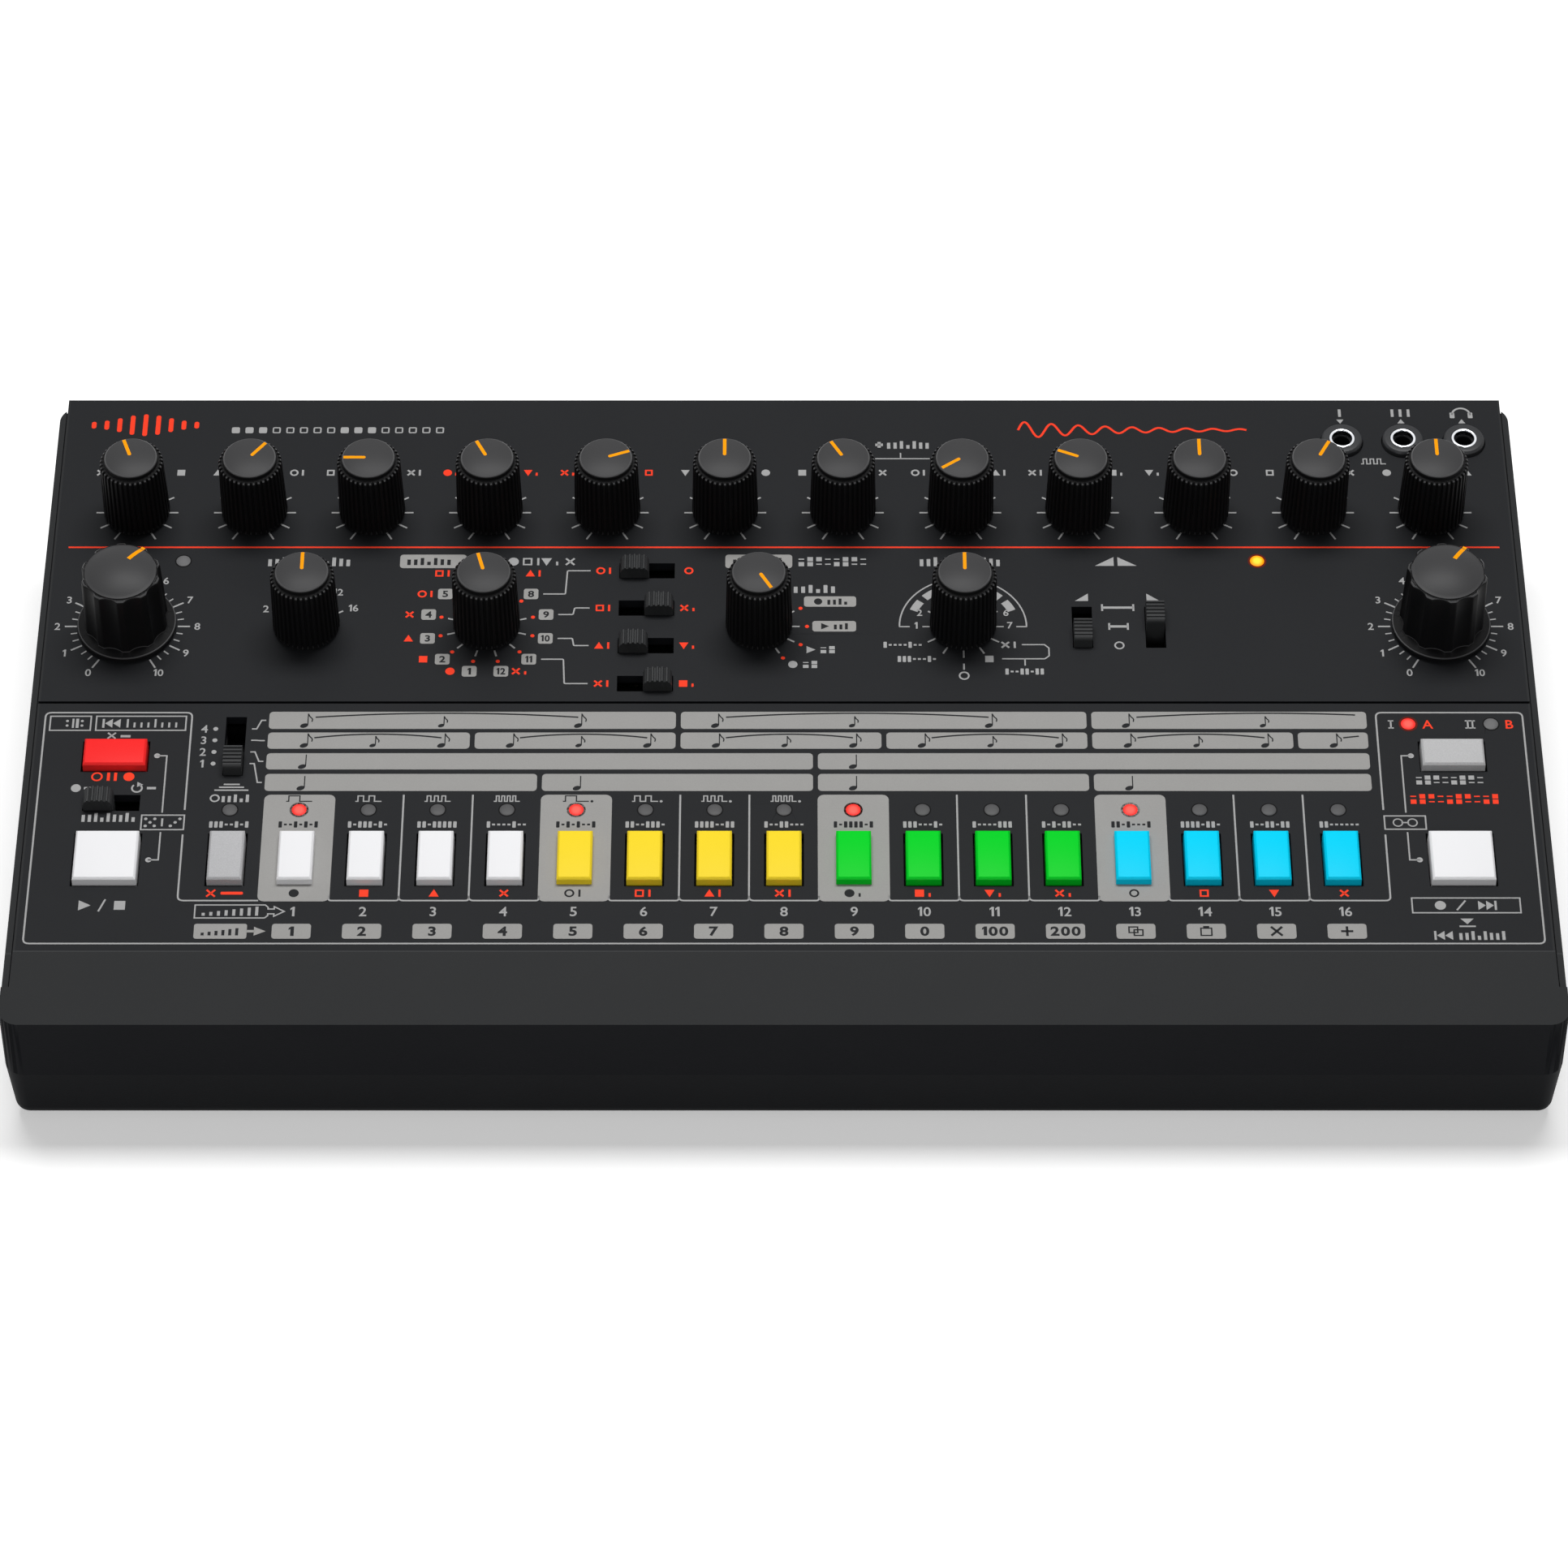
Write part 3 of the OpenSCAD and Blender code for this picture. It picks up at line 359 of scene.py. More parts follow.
class Finish(Tree):
    """A material, its principled shader, and the ways in which its surface is uneven"""

    def __init__(self, name, constants):
        self.material = bpy.data.materials.new(name)
        self.material.use_nodes = True
        self.material.node_tree.nodes.clear()
        super().__init__(self.material.node_tree)
        self.shader = self.add("BsdfPrincipled", constants)
        self.add("OutputMaterial", {"Surface": self.shader.outputs[0]}).name = "Surface"
        self.places = self.add("TexCoord").outputs["Object"]

    def feed(self, socket, value):
        self.tree.links.new(value, self.shader.inputs[socket])

    def clouded(self, colour, amount, scale=30.0, speckle=0.0, places=None):
        """A colour with slight clouds and flecks"""
        return self.use("Uneven Tone", {"Vector": self.places if places is None else places, "Color": colour,
                                        "Scale": scale, "Amount": amount, "Speckle": speckle})

    def roughen(self, roughness, marks=0.1):
        """Even roughness with handling marks"""
        self.feed("Roughness", self.use("Handling Marks", {"Vector": self.places, "Roughness": roughness,
                                                           "Amount": marks}))

    def grain(self, scale, strength, roundness=0.5, places=None):
        """Fine grain, or lines where the places are stretched"""
        height = self.use("Moulded Grain", {"Vector": self.places if places is None else places,
                                            "Scale": scale, "Roundness": roundness})
        bump = self.add("Bump", {"Height": height, "Strength": strength, "Distance": 0.0001})
        self.feed("Normal", bump.outputs["Normal"])


def moulded(name, colour, roughness, specular=0.1, grain=2600.0, depth=0.06, tone=0.1, speckle=0.0, wear=0.0,
            marks=0.1):
    """Injection-moulded plastic: even colour with slight clouds, fine grain and handling marks"""
    finish = Finish(name, {"Specular IOR Level": specular})
    base = finish.clouded(rgba(colour), tone, speckle=speckle)
    # painted highlight with a little wear: where asked, sharp edges are painted lighter
    if wear:
        light = rgba(tuple(min(1.0, part * 1.9 + 0.02) for part in colour))
        base = finish.use("Edge Wear", {"Color": base, "Worn": light, "Amount": wear})
    finish.feed("Base Color", base)
    finish.roughen(roughness, marks)
    finish.grain(grain, depth * 4)
    return finish.material


def case_finish(name, case, panel, wall):
    """Moulded shell; inside the panel's border it is painted darker, a painted shade, and on its steep walls
    darker still, also painted shade; a light line of painted highlight runs along the bend in front
    """
    finish = Finish(name, {"Specular IOR Level": 0.05})
    # painted shade: faces that turn away from straight up take the darker wall tone
    facing = finish.add("SeparateXYZ", {"Vector": finish.add("NewGeometry").outputs["Normal"]})
    level = finish.add("MapRange", {"Value": facing.outputs["Z"], "From Min": 0.55, "From Max": 0.85})
    axis = joint_of("tempo_knob")["axis"]
    slope = atan2(-axis[1], axis[2])
    start = PANEL.translation.y * cos(slope) + PANEL.translation.z * sin(slope)
    level_places = finish.add("Mapping", {"Vector": finish.places, "Location": (0, -start, 0),
                                          "Rotation": (-slope, 0, 0)})
    spot = finish.add("SeparateXYZ", {"Vector": level_places.outputs["Vector"]}).outputs
    # painted shade: inside the panel's border the shell takes the darker panel tone
    inside_u = finish.maths("LESS_THAN", finish.maths("ABSOLUTE", spot["X"]), PANEL_HALF * MM)
    inside_v = finish.maths("GREATER_THAN", spot["Y"], PANEL_BEND * MM)
    # painted highlight: a light line along the bend in front, where the crease catches the light
    bend = finish.maths("COMPARE", spot["Y"], PANEL_BEND * MM, BEND_HIGHLIGHT * MM)
    top = finish.mix(finish.maths("MULTIPLY", inside_u, inside_v), rgba(case), rgba(panel))
    bend_highlighted = finish.mix(bend, top, rgba(srgb(60, 61, 62)))
    shell = finish.mix(level.outputs["Result"], rgba(wall), bend_highlighted)
    finish.feed("Base Color", finish.clouded(shell, 0.07, speckle=0.1))
    finish.roughen(0.5)
    finish.grain(3000.0, 0.2)
    return finish.material


def plated(name, colour, roughness, stretch=(1, 1, 1), depth=0.1):
    """Plated metal with fine tool marks, closer together along an axis with a larger stretch"""
    finish = Finish(name, {"Metallic": 1.0})
    places = finish.add("Mapping", {"Vector": finish.places, "Scale": stretch}).outputs["Vector"]
    finish.feed("Base Color", finish.clouded(rgba(colour), 0.25, 300.0, places=places))
    finish.roughen(roughness, 0.18)
    finish.grain(1500.0, depth, 0.0, places)
    return finish.material


def inked(name, colour, roughness=0.55):
    """Screen print: flat colour with a faint mottle and pinholes"""
    finish = Finish(name, {"Specular IOR Level": 0.06})
    finish.feed("Base Color", finish.clouded(rgba(colour), 0.07, 140.0, 0.12))
    finish.roughen(roughness)
    return finish.material


def lamp_finish(name, rim, middle, strength):
    """Diffusing lamp, lighter over its die; the attribute 'middle' runs from 0 at the rim to 1 on top"""
    finish = Finish(name, {"Emission Strength": strength, "Specular IOR Level": 0.08})
    share = finish.add("Attribute", attribute_name="middle").outputs["Fac"]
    soft = finish.add("MapRange", {"Value": share, "From Min": 0.05, "From Max": 0.7},
                      interpolation_type="SMOOTHSTEP")
    colour = finish.clouded(finish.mix(soft.outputs["Result"], rgba(rim), rgba(middle)), 0.12, 900.0)
    finish.feed("Base Color", colour)
    finish.feed("Emission Color", colour)
    finish.roughen(0.35)
    return finish.material


def board_finish(name, mask):
    """Green solder mask over a pattern of tracks and bare pads"""
    finish = Finish(name, {"Coat Weight": 0.4, "Coat Roughness": 0.15})
    tracks = finish.add("TexBrick", {"Vector": finish.places, "Scale": 190.0, "Color1": rgba(mask),
                                     "Color2": rgba(mask, 0.8), "Mortar": rgba(mask, 1.7),
                                     "Mortar Size": 0.03})
    pads = finish.add("TexVoronoi", {"Vector": finish.places, "Scale": 260.0, "Randomness": 0.35})
    bare = finish.maths("LESS_THAN", pads.outputs["Distance"], 0.16)
    finish.feed("Base Color", finish.mix(bare, tracks.outputs["Color"], rgba(srgb(196, 186, 150))))
    finish.roughen(0.4, 0.15)
    return finish.material


# ---------------------------------------------------------------- mesh helpers


def link_piece(name, bm, finish, body, stands_for=(), sharp=35.0):
    """Makes a finished mesh, already in place, a piece that rides on a body

    Its faces may share several finishes.
    """
    bmesh.ops.recalc_face_normals(bm, faces=bm.faces)
    mesh = bpy.data.meshes.new(name)
    bm.to_mesh(mesh)
    bm.free()
    for one in (finish if isinstance(finish, (list, tuple)) else [finish]):
        mesh.materials.append(one)
    mesh.shade_smooth()
    mesh.set_sharp_from_angle(angle=radians(sharp))
    made = bpy.data.objects.new(name, mesh)
    bpy.context.scene.collection.objects.link(made)
    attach(made, body)
    if stands_for:
        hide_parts(*stands_for)
    return made


def spun(profile, segments, ring=False):
    """Solid of an outline of (radius, height) points that starts and ends on the axis"""
    bm = bmesh.new()
    verts = [bm.verts.new((radius, 0, height)) for radius, height in profile]
    ends = verts[1:] + (verts[:1] if ring else [])
    edges = [bm.edges.new(pair) for pair in zip(verts, ends)]
    bmesh.ops.spin(bm, geom=verts + edges, cent=(0, 0, 0), axis=(0, 0, 1), angle=tau, steps=segments,
                   use_merge=True)
    bmesh.ops.remove_doubles(bm, verts=bm.verts, dist=1e-4)
    return bm


def spun_ring(profile, segments):
    """Ring of a closed outline of (radius, height) points off the axis"""
    return spun(profile, segments, ring=True)


def mark_faces(bm, test, index=1):
    """Gives the faces whose middle passes a test of radius and height another of the piece's finishes"""
    for face in bm.faces:
        middle = face.calc_center_median()
        if test(hypot(middle.x, middle.y), middle.z):
            face.material_index = index


def add_block(bm, low, high):
    """Adds a box between two corners"""
    low, high = Vector(low), Vector(high)
    place = Matrix.Translation((low + high) / 2) @ Matrix.Diagonal((*(high - low), 1))
    return bmesh.ops.create_cube(bm, size=1, matrix=place)["verts"]


def add_rod(bm, radius, low, high, segments):
    """Adds an upright rod between two heights"""
    bmesh.ops.create_cone(bm, cap_ends=True, segments=segments, radius1=radius, radius2=radius,
                          depth=high - low, matrix=Matrix.Translation((0, 0, (low + high) / 2)))


def draw_out(bm, faces, way, keep=True):
    """Extrudes faces and moves the new corners; keep closes the open side with the old faces"""
    made = bmesh.ops.extrude_face_region(bm, geom=faces, use_keep_orig=keep)
    verts = [part for part in made["geom"] if isinstance(part, bmesh.types.BMVert)]
    bmesh.ops.translate(bm, verts=verts, vec=way)


def bevel_edges(bm, edges, offset, segments=2):
    bmesh.ops.bevel(bm, geom=edges, offset=offset, offset_type="OFFSET", affect="EDGES", segments=segments,
                    profile=0.5, material=-1, clamp_overlap=True)


def merge_in(bm, other, place=None):
    """Adds another mesh to one, and frees it"""
    if place is not None:
        bmesh.ops.transform(other, matrix=place, verts=other.verts)
    holder = bpy.data.meshes.new("holder")
    other.to_mesh(holder)
    other.free()
    bm.from_mesh(holder)
    bpy.data.meshes.remove(holder)


def soften(node, offset, angle=40.0, segments=2):
    """Rounds the sharp edges of a frame node with modifiers"""
    shape = frame["nodes"][node]
    weld = shape.modifiers.new("Weld", "WELD")
    weld.merge_threshold = 2e-6
    bevel = shape.modifiers.new("Edges", "BEVEL")
    bevel.width = offset * MM
    bevel.segments = segments
    bevel.limit_method = "ANGLE"
    bevel.angle_limit = radians(angle)
    bevel.use_clamp_overlap = True
    normals = shape.modifiers.new("Normals", "WEIGHTED_NORMAL")
    normals.keep_sharp = False
    return shape


def give_finish(node, finish):
    shape = frame["nodes"][node]
    shape.data.materials.clear()
    shape.data.materials.append(finish)


# ---------------------------------------------------------------- case and inner parts


class DRUM_OT_case(bpy.types.Operator):
    """Finishes the two shells and rounds their edges"""
    bl_idname = "drum.case"
    bl_label = "Case"

    def execute(self, context):
        paint = colours()
        give_finish("top_case", case_finish("Case plastic", paint.case, paint.panel, paint.wall))
        give_finish("bottom_case", moulded("Base plastic", paint.base, 0.55, specular=0.05, grain=3000,
                                           depth=0.05, speckle=0.1))
        soften("top_case", size("shell_edge"))
        soften("bottom_case", size("shell_edge"))
        return {"FINISHED"}


class DRUM_OT_inner_parts(bpy.types.Operator):
    """Finishes the boards, switches, feet and screws that the frame carries"""
    bl_idname = "drum.inner_parts"
    bl_label = "Inner parts, feet and screws"

    def execute(self, context):
        give_finish("circuit_boards", board_finish("Circuit board", srgb(20, 88, 50)))
        give_finish("potentiometers", plated("Potentiometer metal", srgb(150, 153, 156), 0.35, (1, 6, 1)))
        give_finish("key_switches", moulded("Switch plastic", srgb(24, 24, 26), 0.4))
        give_finish("slide_switches", moulded("Slide switch black", srgb(20, 20, 21), 0.45))
        give_finish("power_lever", moulded("Power lever plastic", srgb(26, 26, 28), 0.45))
        give_finish("feet", moulded("Foot rubber", srgb(24, 24, 25), 0.85, specular=0.2, grain=1400,
                                    depth=0.2))
        give_finish("screws", plated("Screw steel", srgb(168, 170, 174), 0.3))
        soften("feet", 0.3)
        soften("screws", 0.12)
        soften("power_lever", 0.12)
        return {"FINISHED"}


# ---------------------------------------------------------------- knobs


KNOB_FOOT = 0.6
SHAFT_R = 3.0
SHAFT_TOP = 12.6
SHAFT_BOTTOM = -7.0
BORE_R = SHAFT_R + 0.02
HUB_FOOT = 2.0
HOLLOW_TOP = 11.6
LAST_MODE = 150.0


def pointer_angle(body):
    """Degrees clockwise from straight up the slope; the mode selector rests at its last mark"""
    if body == "mode_selector":
        return LAST_MODE
    low, high = joint_of(body)["range_deg"]
    return (low + high) / 2


def underside(hub_r, hollow_r):
    """Outline of a knob's bore and of the hollow round its hub, from the axis out to the foot"""
    return [(0, SHAFT_TOP), (BORE_R, SHAFT_TOP), (BORE_R, HUB_FOOT), (hub_r, HUB_FOOT), (hub_r, HOLLOW_TOP),
            (hollow_r, HOLLOW_TOP), (hollow_r, KNOB_FOOT)]


def pull_in(vertex, radius, depth):
    """Moves a corner nearer to the axis"""
    shrink = (radius - depth) / radius
    vertex.co.x *= shrink
    vertex.co.y *= shrink


def fit_knob(body, side, cap, pointer):
    """Sets a knob's meshes, each with its finish, and its shaft on the axis, turned to where it points"""
    shaft = bmesh.new()
    add_rod(shaft, SHAFT_R, SHAFT_BOTTOM, SHAFT_TOP, 40)
    place = PANEL @ at(*axis_place(body), turn=-pointer_angle(body))
    steel = bpy.data.materials["Shaft steel"]
    parts = {"side": side, "cap": cap, "pointer": pointer, "shaft": (shaft, steel)}
    for part, (bm, finish) in parts.items():
        bmesh.ops.transform(bm, matrix=place, verts=bm.verts)
        link_piece(f"{body}_{part}", bm, finish, body, (body,) if part == "side" else ())


class DRUM_OT_small_knobs(bpy.types.Operator):
    """Ribbed knobs with a smooth cap, an inlaid pointer and a shaft"""
    bl_idname = "drum.small_knobs"
    bl_label = "Small knobs"

    foot_r = 6.85
    top_r = 6.5
    rib_top = 15.8
    band_r = 5.5
    disc_low = 16.65
    cap_r = 5.4
    cap_top = 17.1
    chamfer = 0.27
    hub_r = 3.9
    hollow_r = 4.95
    # of the columns of faces in each rib's pitch, the first two are the groove
    columns = 5
    groove = 2
    pointer_start = 0.9

    def side(self, ribs):
        """Ribbed side, the band under the cap and the hollow underside"""
        span = self.rib_top - KNOB_FOOT
        slope = [(self.foot_r + (self.top_r - self.foot_r) * share, KNOB_FOOT + span * share)
                 for share in (0.03, 0.35, 0.7, 0.965)]
        bm = spun([
            *underside(self.hub_r, self.hollow_r), (self.foot_r - 0.12, KNOB_FOOT), *slope,
            (self.top_r - 0.08, self.rib_top - 0.26), (self.top_r - 0.32, self.rib_top - 0.02),
            (self.band_r + 0.12, self.rib_top), (self.band_r, self.rib_top + 0.1),
            (self.band_r, self.disc_low), (0, self.disc_low),
        ], ribs * self.columns)
        depth = size("rib_depth")
        for vertex in bm.verts:
            radius = hypot(vertex.co.x, vertex.co.y)
            ribbed = radius > self.cap_r + 0.5 and vertex.co.z > KNOB_FOOT + 0.1
            column = round(atan2(vertex.co.y, vertex.co.x) / tau * ribs * self.columns) % self.columns
            if ribbed and column < self.groove:
                pull_in(vertex, radius, depth)
        # painted highlight: the chamfered tips of the ribs take the lighter second finish
        mark_faces(bm, lambda radius, height: self.rib_top - 0.24 < height < self.rib_top - 0.03
                   and self.top_r - 0.3 < radius)
        return bm

    def cap(self):
        """Flat disc with a crisp chamfer"""
        low, top, r, cut = self.disc_low - 0.01, self.cap_top, self.cap_r, self.chamfer
        bm = spun([(0, low), (r, low), (r, top - cut), (r - 0.02, top - cut + 0.035),
                   (r - cut + 0.035, top - 0.02), (r - cut, top), (0, top)], 96)
        # painted highlight: the chamfer round the cap takes the lighter second finish
        mark_faces(bm, lambda radius, height: radius > r - cut and top - cut + 0.01 < height < top)
        return bm

    def pointer(self):
        """Inlaid line with a round inner end"""
        wide, start = size("pointer"), self.pointer_start
        bm = bmesh.new()
        add_block(bm, (-wide / 2, start - wide / 2, self.cap_top - 0.28),
                  (wide / 2, self.cap_r - 0.3, self.cap_top + 0.015))
        corners = [edge for edge in bm.edges if abs(edge.verts[0].co.z - edge.verts[1].co.z) > 0.1
                   and edge.verts[0].co.y < start]
        bevel_edges(bm, corners, wide / 2 - 0.01, 6)
        return bm

    def execute(self, context):
        paint, ribs = colours(), context.scene.drum_sizes.ribs
        # painted shade: the sides, one moulding with the caps, are painted much darker than the caps
        side = moulded("Knob side plastic", paint.knob, 0.5, specular=0.08, grain=4200, depth=0.05, wear=0.1)
        cap = moulded("Knob cap plastic", paint.cap, 0.42, specular=0.12, grain=4200, depth=0.03, tone=0.06)
        # painted highlight on the tips of the ribs and on the edges of the large knobs' grips and skirts
        rib_edge = moulded("Knob edge plastic", paint.rib_edge, 0.45, specular=0.1, grain=4200, depth=0.03)
        # painted highlight on the chamfer round the small knobs' caps
        cap_highlight = moulded("Cap edge plastic", srgb(86, 86, 87), 0.4, specular=0.12, grain=4200, depth=0.03)
        line = moulded("Pointer paint", paint.pointer, 0.4, specular=0.06, depth=0.02, tone=0.05)
        plated("Shaft steel", srgb(165, 167, 170), 0.28, (1, 1, 8))
        for body in SMALL_KNOBS:
            fit_knob(body, (self.side(ribs), (side, rib_edge)), (self.cap(), (cap, cap_highlight)),
                     (self.pointer(), line))
        return {"FINISHED"}


class DRUM_OT_large_knobs(bpy.types.Operator):
    """Fluted knobs on a skirt, with a domed cap"""
    bl_idname = "drum.large_knobs"
    bl_label = "Large knobs"

    skirt_r = 10.05
    skirt_t = 1.6
    hub_r = 4.4
    hollow_r = 5.95
    grip_r = 8.6
    top_r = 8.15
    grip_h = 16.9
    dome_r = 7.25
    dome_h = 1.5
    flute_r = 4.3
    flute_out = 3.6
    column_count = 24
    pointer_start = 2.9

    def dome(self, radius):
        """Height of the domed cap at a radius"""
        ball = (self.dome_r ** 2 + self.dome_h ** 2) / (2 * self.dome_h)
        return self.grip_h + self.dome_h - ball + sqrt(ball ** 2 - radius ** 2)

    def flute_depth(self, angle, flutes):
        """How deep a flute cuts at an angle round the knob; it is deepest in the middle of its pitch"""
        pitch = tau / flutes
        off = (angle % pitch) - pitch / 2
        centre = self.grip_r + self.flute_out
        inside = self.flute_r ** 2 - (centre * sin(off)) ** 2
        if inside <= 0:
            return 0.0
        return max(0.0, self.grip_r - (centre * cos(off) - sqrt(inside)))

    def side(self, flutes):
        """Skirt, fluted grip and the hollow underside"""
        bm = spun([
            *underside(self.hub_r, self.hollow_r),
            (self.skirt_r - 0.1, KNOB_FOOT), (self.skirt_r, KNOB_FOOT + 0.12),
            (self.skirt_r, self.skirt_t - 0.22), (self.skirt_r - 0.06, self.skirt_t - 0.06),
            (self.skirt_r - 0.22, self.skirt_t),
            (self.grip_r + 0.05, self.skirt_t + 0.2), (self.grip_r, self.skirt_t + 0.3),
            (self.grip_r - 0.03, self.skirt_t + 0.5), (self.grip_r - 0.15, 7.0), (self.grip_r - 0.3, 12.0),
            (self.top_r, self.grip_h - 0.7), (self.top_r - 0.12, self.grip_h - 0.38),
            (self.top_r - 0.42, self.grip_h - 0.1), (self.dome_r + 0.22, self.grip_h - 0.04),
            (self.dome_r + 0.1, self.grip_h - 0.3), (0, self.grip_h - 0.3),
        ], flutes * self.column_count)
        for vertex in bm.verts:
            radius = hypot(vertex.co.x, vertex.co.y)
            fluted = self.dome_r + 0.3 < radius < self.skirt_r - 0.5 and vertex.co.z > self.skirt_t + 0.25
            if fluted:
                pull_in(vertex, radius, self.flute_depth(atan2(vertex.co.x, vertex.co.y), flutes))
        # painted highlight: the foot of the grip, the brim of its top and the rim of the skirt take the lighter
        # second finish
        foot, brim = self.skirt_t + 0.3, self.grip_h - 0.38
        mark_faces(bm, lambda radius, height: foot < height < foot + 0.2 or brim < height < brim + 0.28
                   or radius > self.skirt_r - 0.2 and self.skirt_t - 0.2 < height)
        return bm

    def cap(self):
        rings = [self.dome_r * share for share in (0.97, 0.9, 0.8, 0.68, 0.54, 0.38, 0.2)]
        low = self.grip_h - 0.29
        return spun([(0, low), (self.dome_r, low), (self.dome_r, self.grip_h + 0.02),
                     (self.dome_r - 0.05, self.grip_h + 0.07), *[(r, self.dome(r)) for r in rings],
                     (0, self.grip_h + self.dome_h)], 128)

    def pointer(self):
        """Inlay that follows the dome and ends in a notch over the grip"""
        wide, start, end = size("large_pointer"), self.pointer_start, self.dome_r - 0.02
        bm = bmesh.new()
        bmesh.ops.create_grid(bm, x_segments=2, y_segments=14, size=0.5,
                              matrix=at(0, (start + end) / 2, stretch=(wide, end - start, 1)))
        for vertex in bm.verts:
            vertex.co.z = self.dome(hypot(vertex.co.x, vertex.co.y)) + 0.02
        draw_out(bm, bm.faces[:], (0, 0, -0.3), keep=False)
        add_block(bm, (-wide / 2, end - 0.1, self.grip_h - 0.5),
                  (wide / 2, self.top_r - 0.3, self.grip_h - 0.02))
        return bm

    def execute(self, context):
        side, edge, cap, line = (bpy.data.materials[name] for name in (
            "Knob side plastic", "Knob edge plastic", "Knob cap plastic", "Pointer paint"))
        flutes = context.scene.drum_sizes.flutes
        for body in LARGE_KNOBS:
            fit_knob(body, (self.side(flutes), (side, edge)), (self.cap(), cap), (self.pointer(), line))
        return {"FINISHED"}


# ---------------------------------------------------------------- keys


class DRUM_OT_keys(bpy.types.Operator):
    """Bevelled key caps with their flanges, posts and plungers, painted near black under the panel as painted
    shade
    """
    bl_idname = "drum.keys"
    bl_label = "Keys"

    foot = -3.2
    flange = 0.9
    flange_t = 0.8
    skin = 1.0
    draft = 0.08
    bevel = 0.42
    bevel_h = 0.5
    post = 2.6
    plunger_r = 1.7
    plunger_bottom = -7.2
    plunger_top = -3.8
    # under this height a key is painted near black, a painted shade
    under_panel = -1.3

    def cap(self, wide, long, top):
        """Hollow cap on its flange, with the post and plunger under it"""
        bm = bmesh.new()
        half_w, half_l = wide / 2 + self.draft, long / 2 + self.draft
        add_block(bm, (-half_w - self.flange, -half_l - self.flange, self.foot),
                  (half_w + self.flange, half_l + self.flange, self.foot + self.flange_t))
        upper = max(bm.faces, key=lambda face: face.calc_center_median().z)
        bmesh.ops.inset_region(bm, faces=[upper], thickness=self.flange, use_even_offset=True)
        upper = self.raise_face(bm, upper, top - self.bevel_h - self.foot - self.flange_t)
        shrink = (wide / (2 * half_w), long / (2 * half_l), 1)
        bmesh.ops.scale(bm, vec=shrink, verts=upper.verts)
        bmesh.ops.inset_region(bm, faces=[upper], thickness=self.bevel, depth=self.bevel_h,
                               use_even_offset=True)
        under = min(bm.faces, key=lambda face: face.calc_center_median().z)
        bmesh.ops.inset_region(bm, faces=[under], thickness=self.flange + self.skin, use_even_offset=True)
        self.raise_face(bm, under, top - self.skin - self.foot)
        bm.normal_update()
        rim = [edge for edge in bm.edges
               if all(abs(vertex.co.x) > wide / 2 - 1 or abs(vertex.co.y) > long / 2 - 1
                      for vertex in edge.verts)
               and max(vertex.co.z for vertex in edge.verts) > top - self.bevel_h - 0.01
               and edge.calc_face_angle(0) > 0.2]
        bevel_edges(bm, rim, size("key_edge"))
        add_block(bm, (-self.post / 2, -self.post / 2, self.plunger_top + 0.02),
                  (self.post / 2, self.post / 2, top - self.skin / 2))
        add_rod(bm, self.plunger_r, self.plunger_bottom, self.plunger_top, 24)
        return bm

    @staticmethod
    def raise_face(bm, face, rise):
        made = bmesh.ops.extrude_face_region(bm, geom=[face])
        top = next(part for part in made["geom"] if isinstance(part, bmesh.types.BMFace))
        bmesh.ops.translate(bm, verts=top.verts, vec=(0, 0, rise))
        return top

    def execute(self, context):
        paint = colours()
        finishes = {}
        for tone in ("white", "yellow", "green", "cyan", "red"):
            finishes[f"key_{tone}"] = moulded(f"{tone.capitalize()} key plastic", getattr(paint, tone), 0.38,
                                              specular=0.06, depth=0.02, tone=0.03, marks=0.06)
        for tone, speckle in (("grey", 0.28), ("light_grey", 0.24)):
            title = tone.replace("_", " ").capitalize()
            finishes[f"key_{tone}"] = moulded(f"{title} key plastic", getattr(paint, tone), 0.5,
                                              specular=0.06, speckle=speckle, grain=3400, depth=0.12)
        # painted shade: the flange, post and plunger under the panel are painted near black, as shade falls there
        black = moulded("Key frame plastic", srgb(14, 14, 15), 0.6, specular=0.05)
        slots = {row["node"]: row["material_slot"] for row in frame["record"]["subparts"]}
        for body, slot in slots.items():
            if slot not in finishes:
                continue
            low, high = panel_extent(body, 0.0)
            bm = self.cap(high.x - low.x, high.y - low.y, high.z)
            for face in bm.faces:
                face.material_index = int(face.calc_center_median().z < self.under_panel)
            bmesh.ops.transform(bm, matrix=PANEL @ at(*centre_of(low, high)), verts=bm.verts)
            link_piece(f"{body}_cap", bm, (finishes[slot], black), body, (body,), sharp=60.0)
        return {"FINISHED"}


# ---------------------------------------------------------------- levers


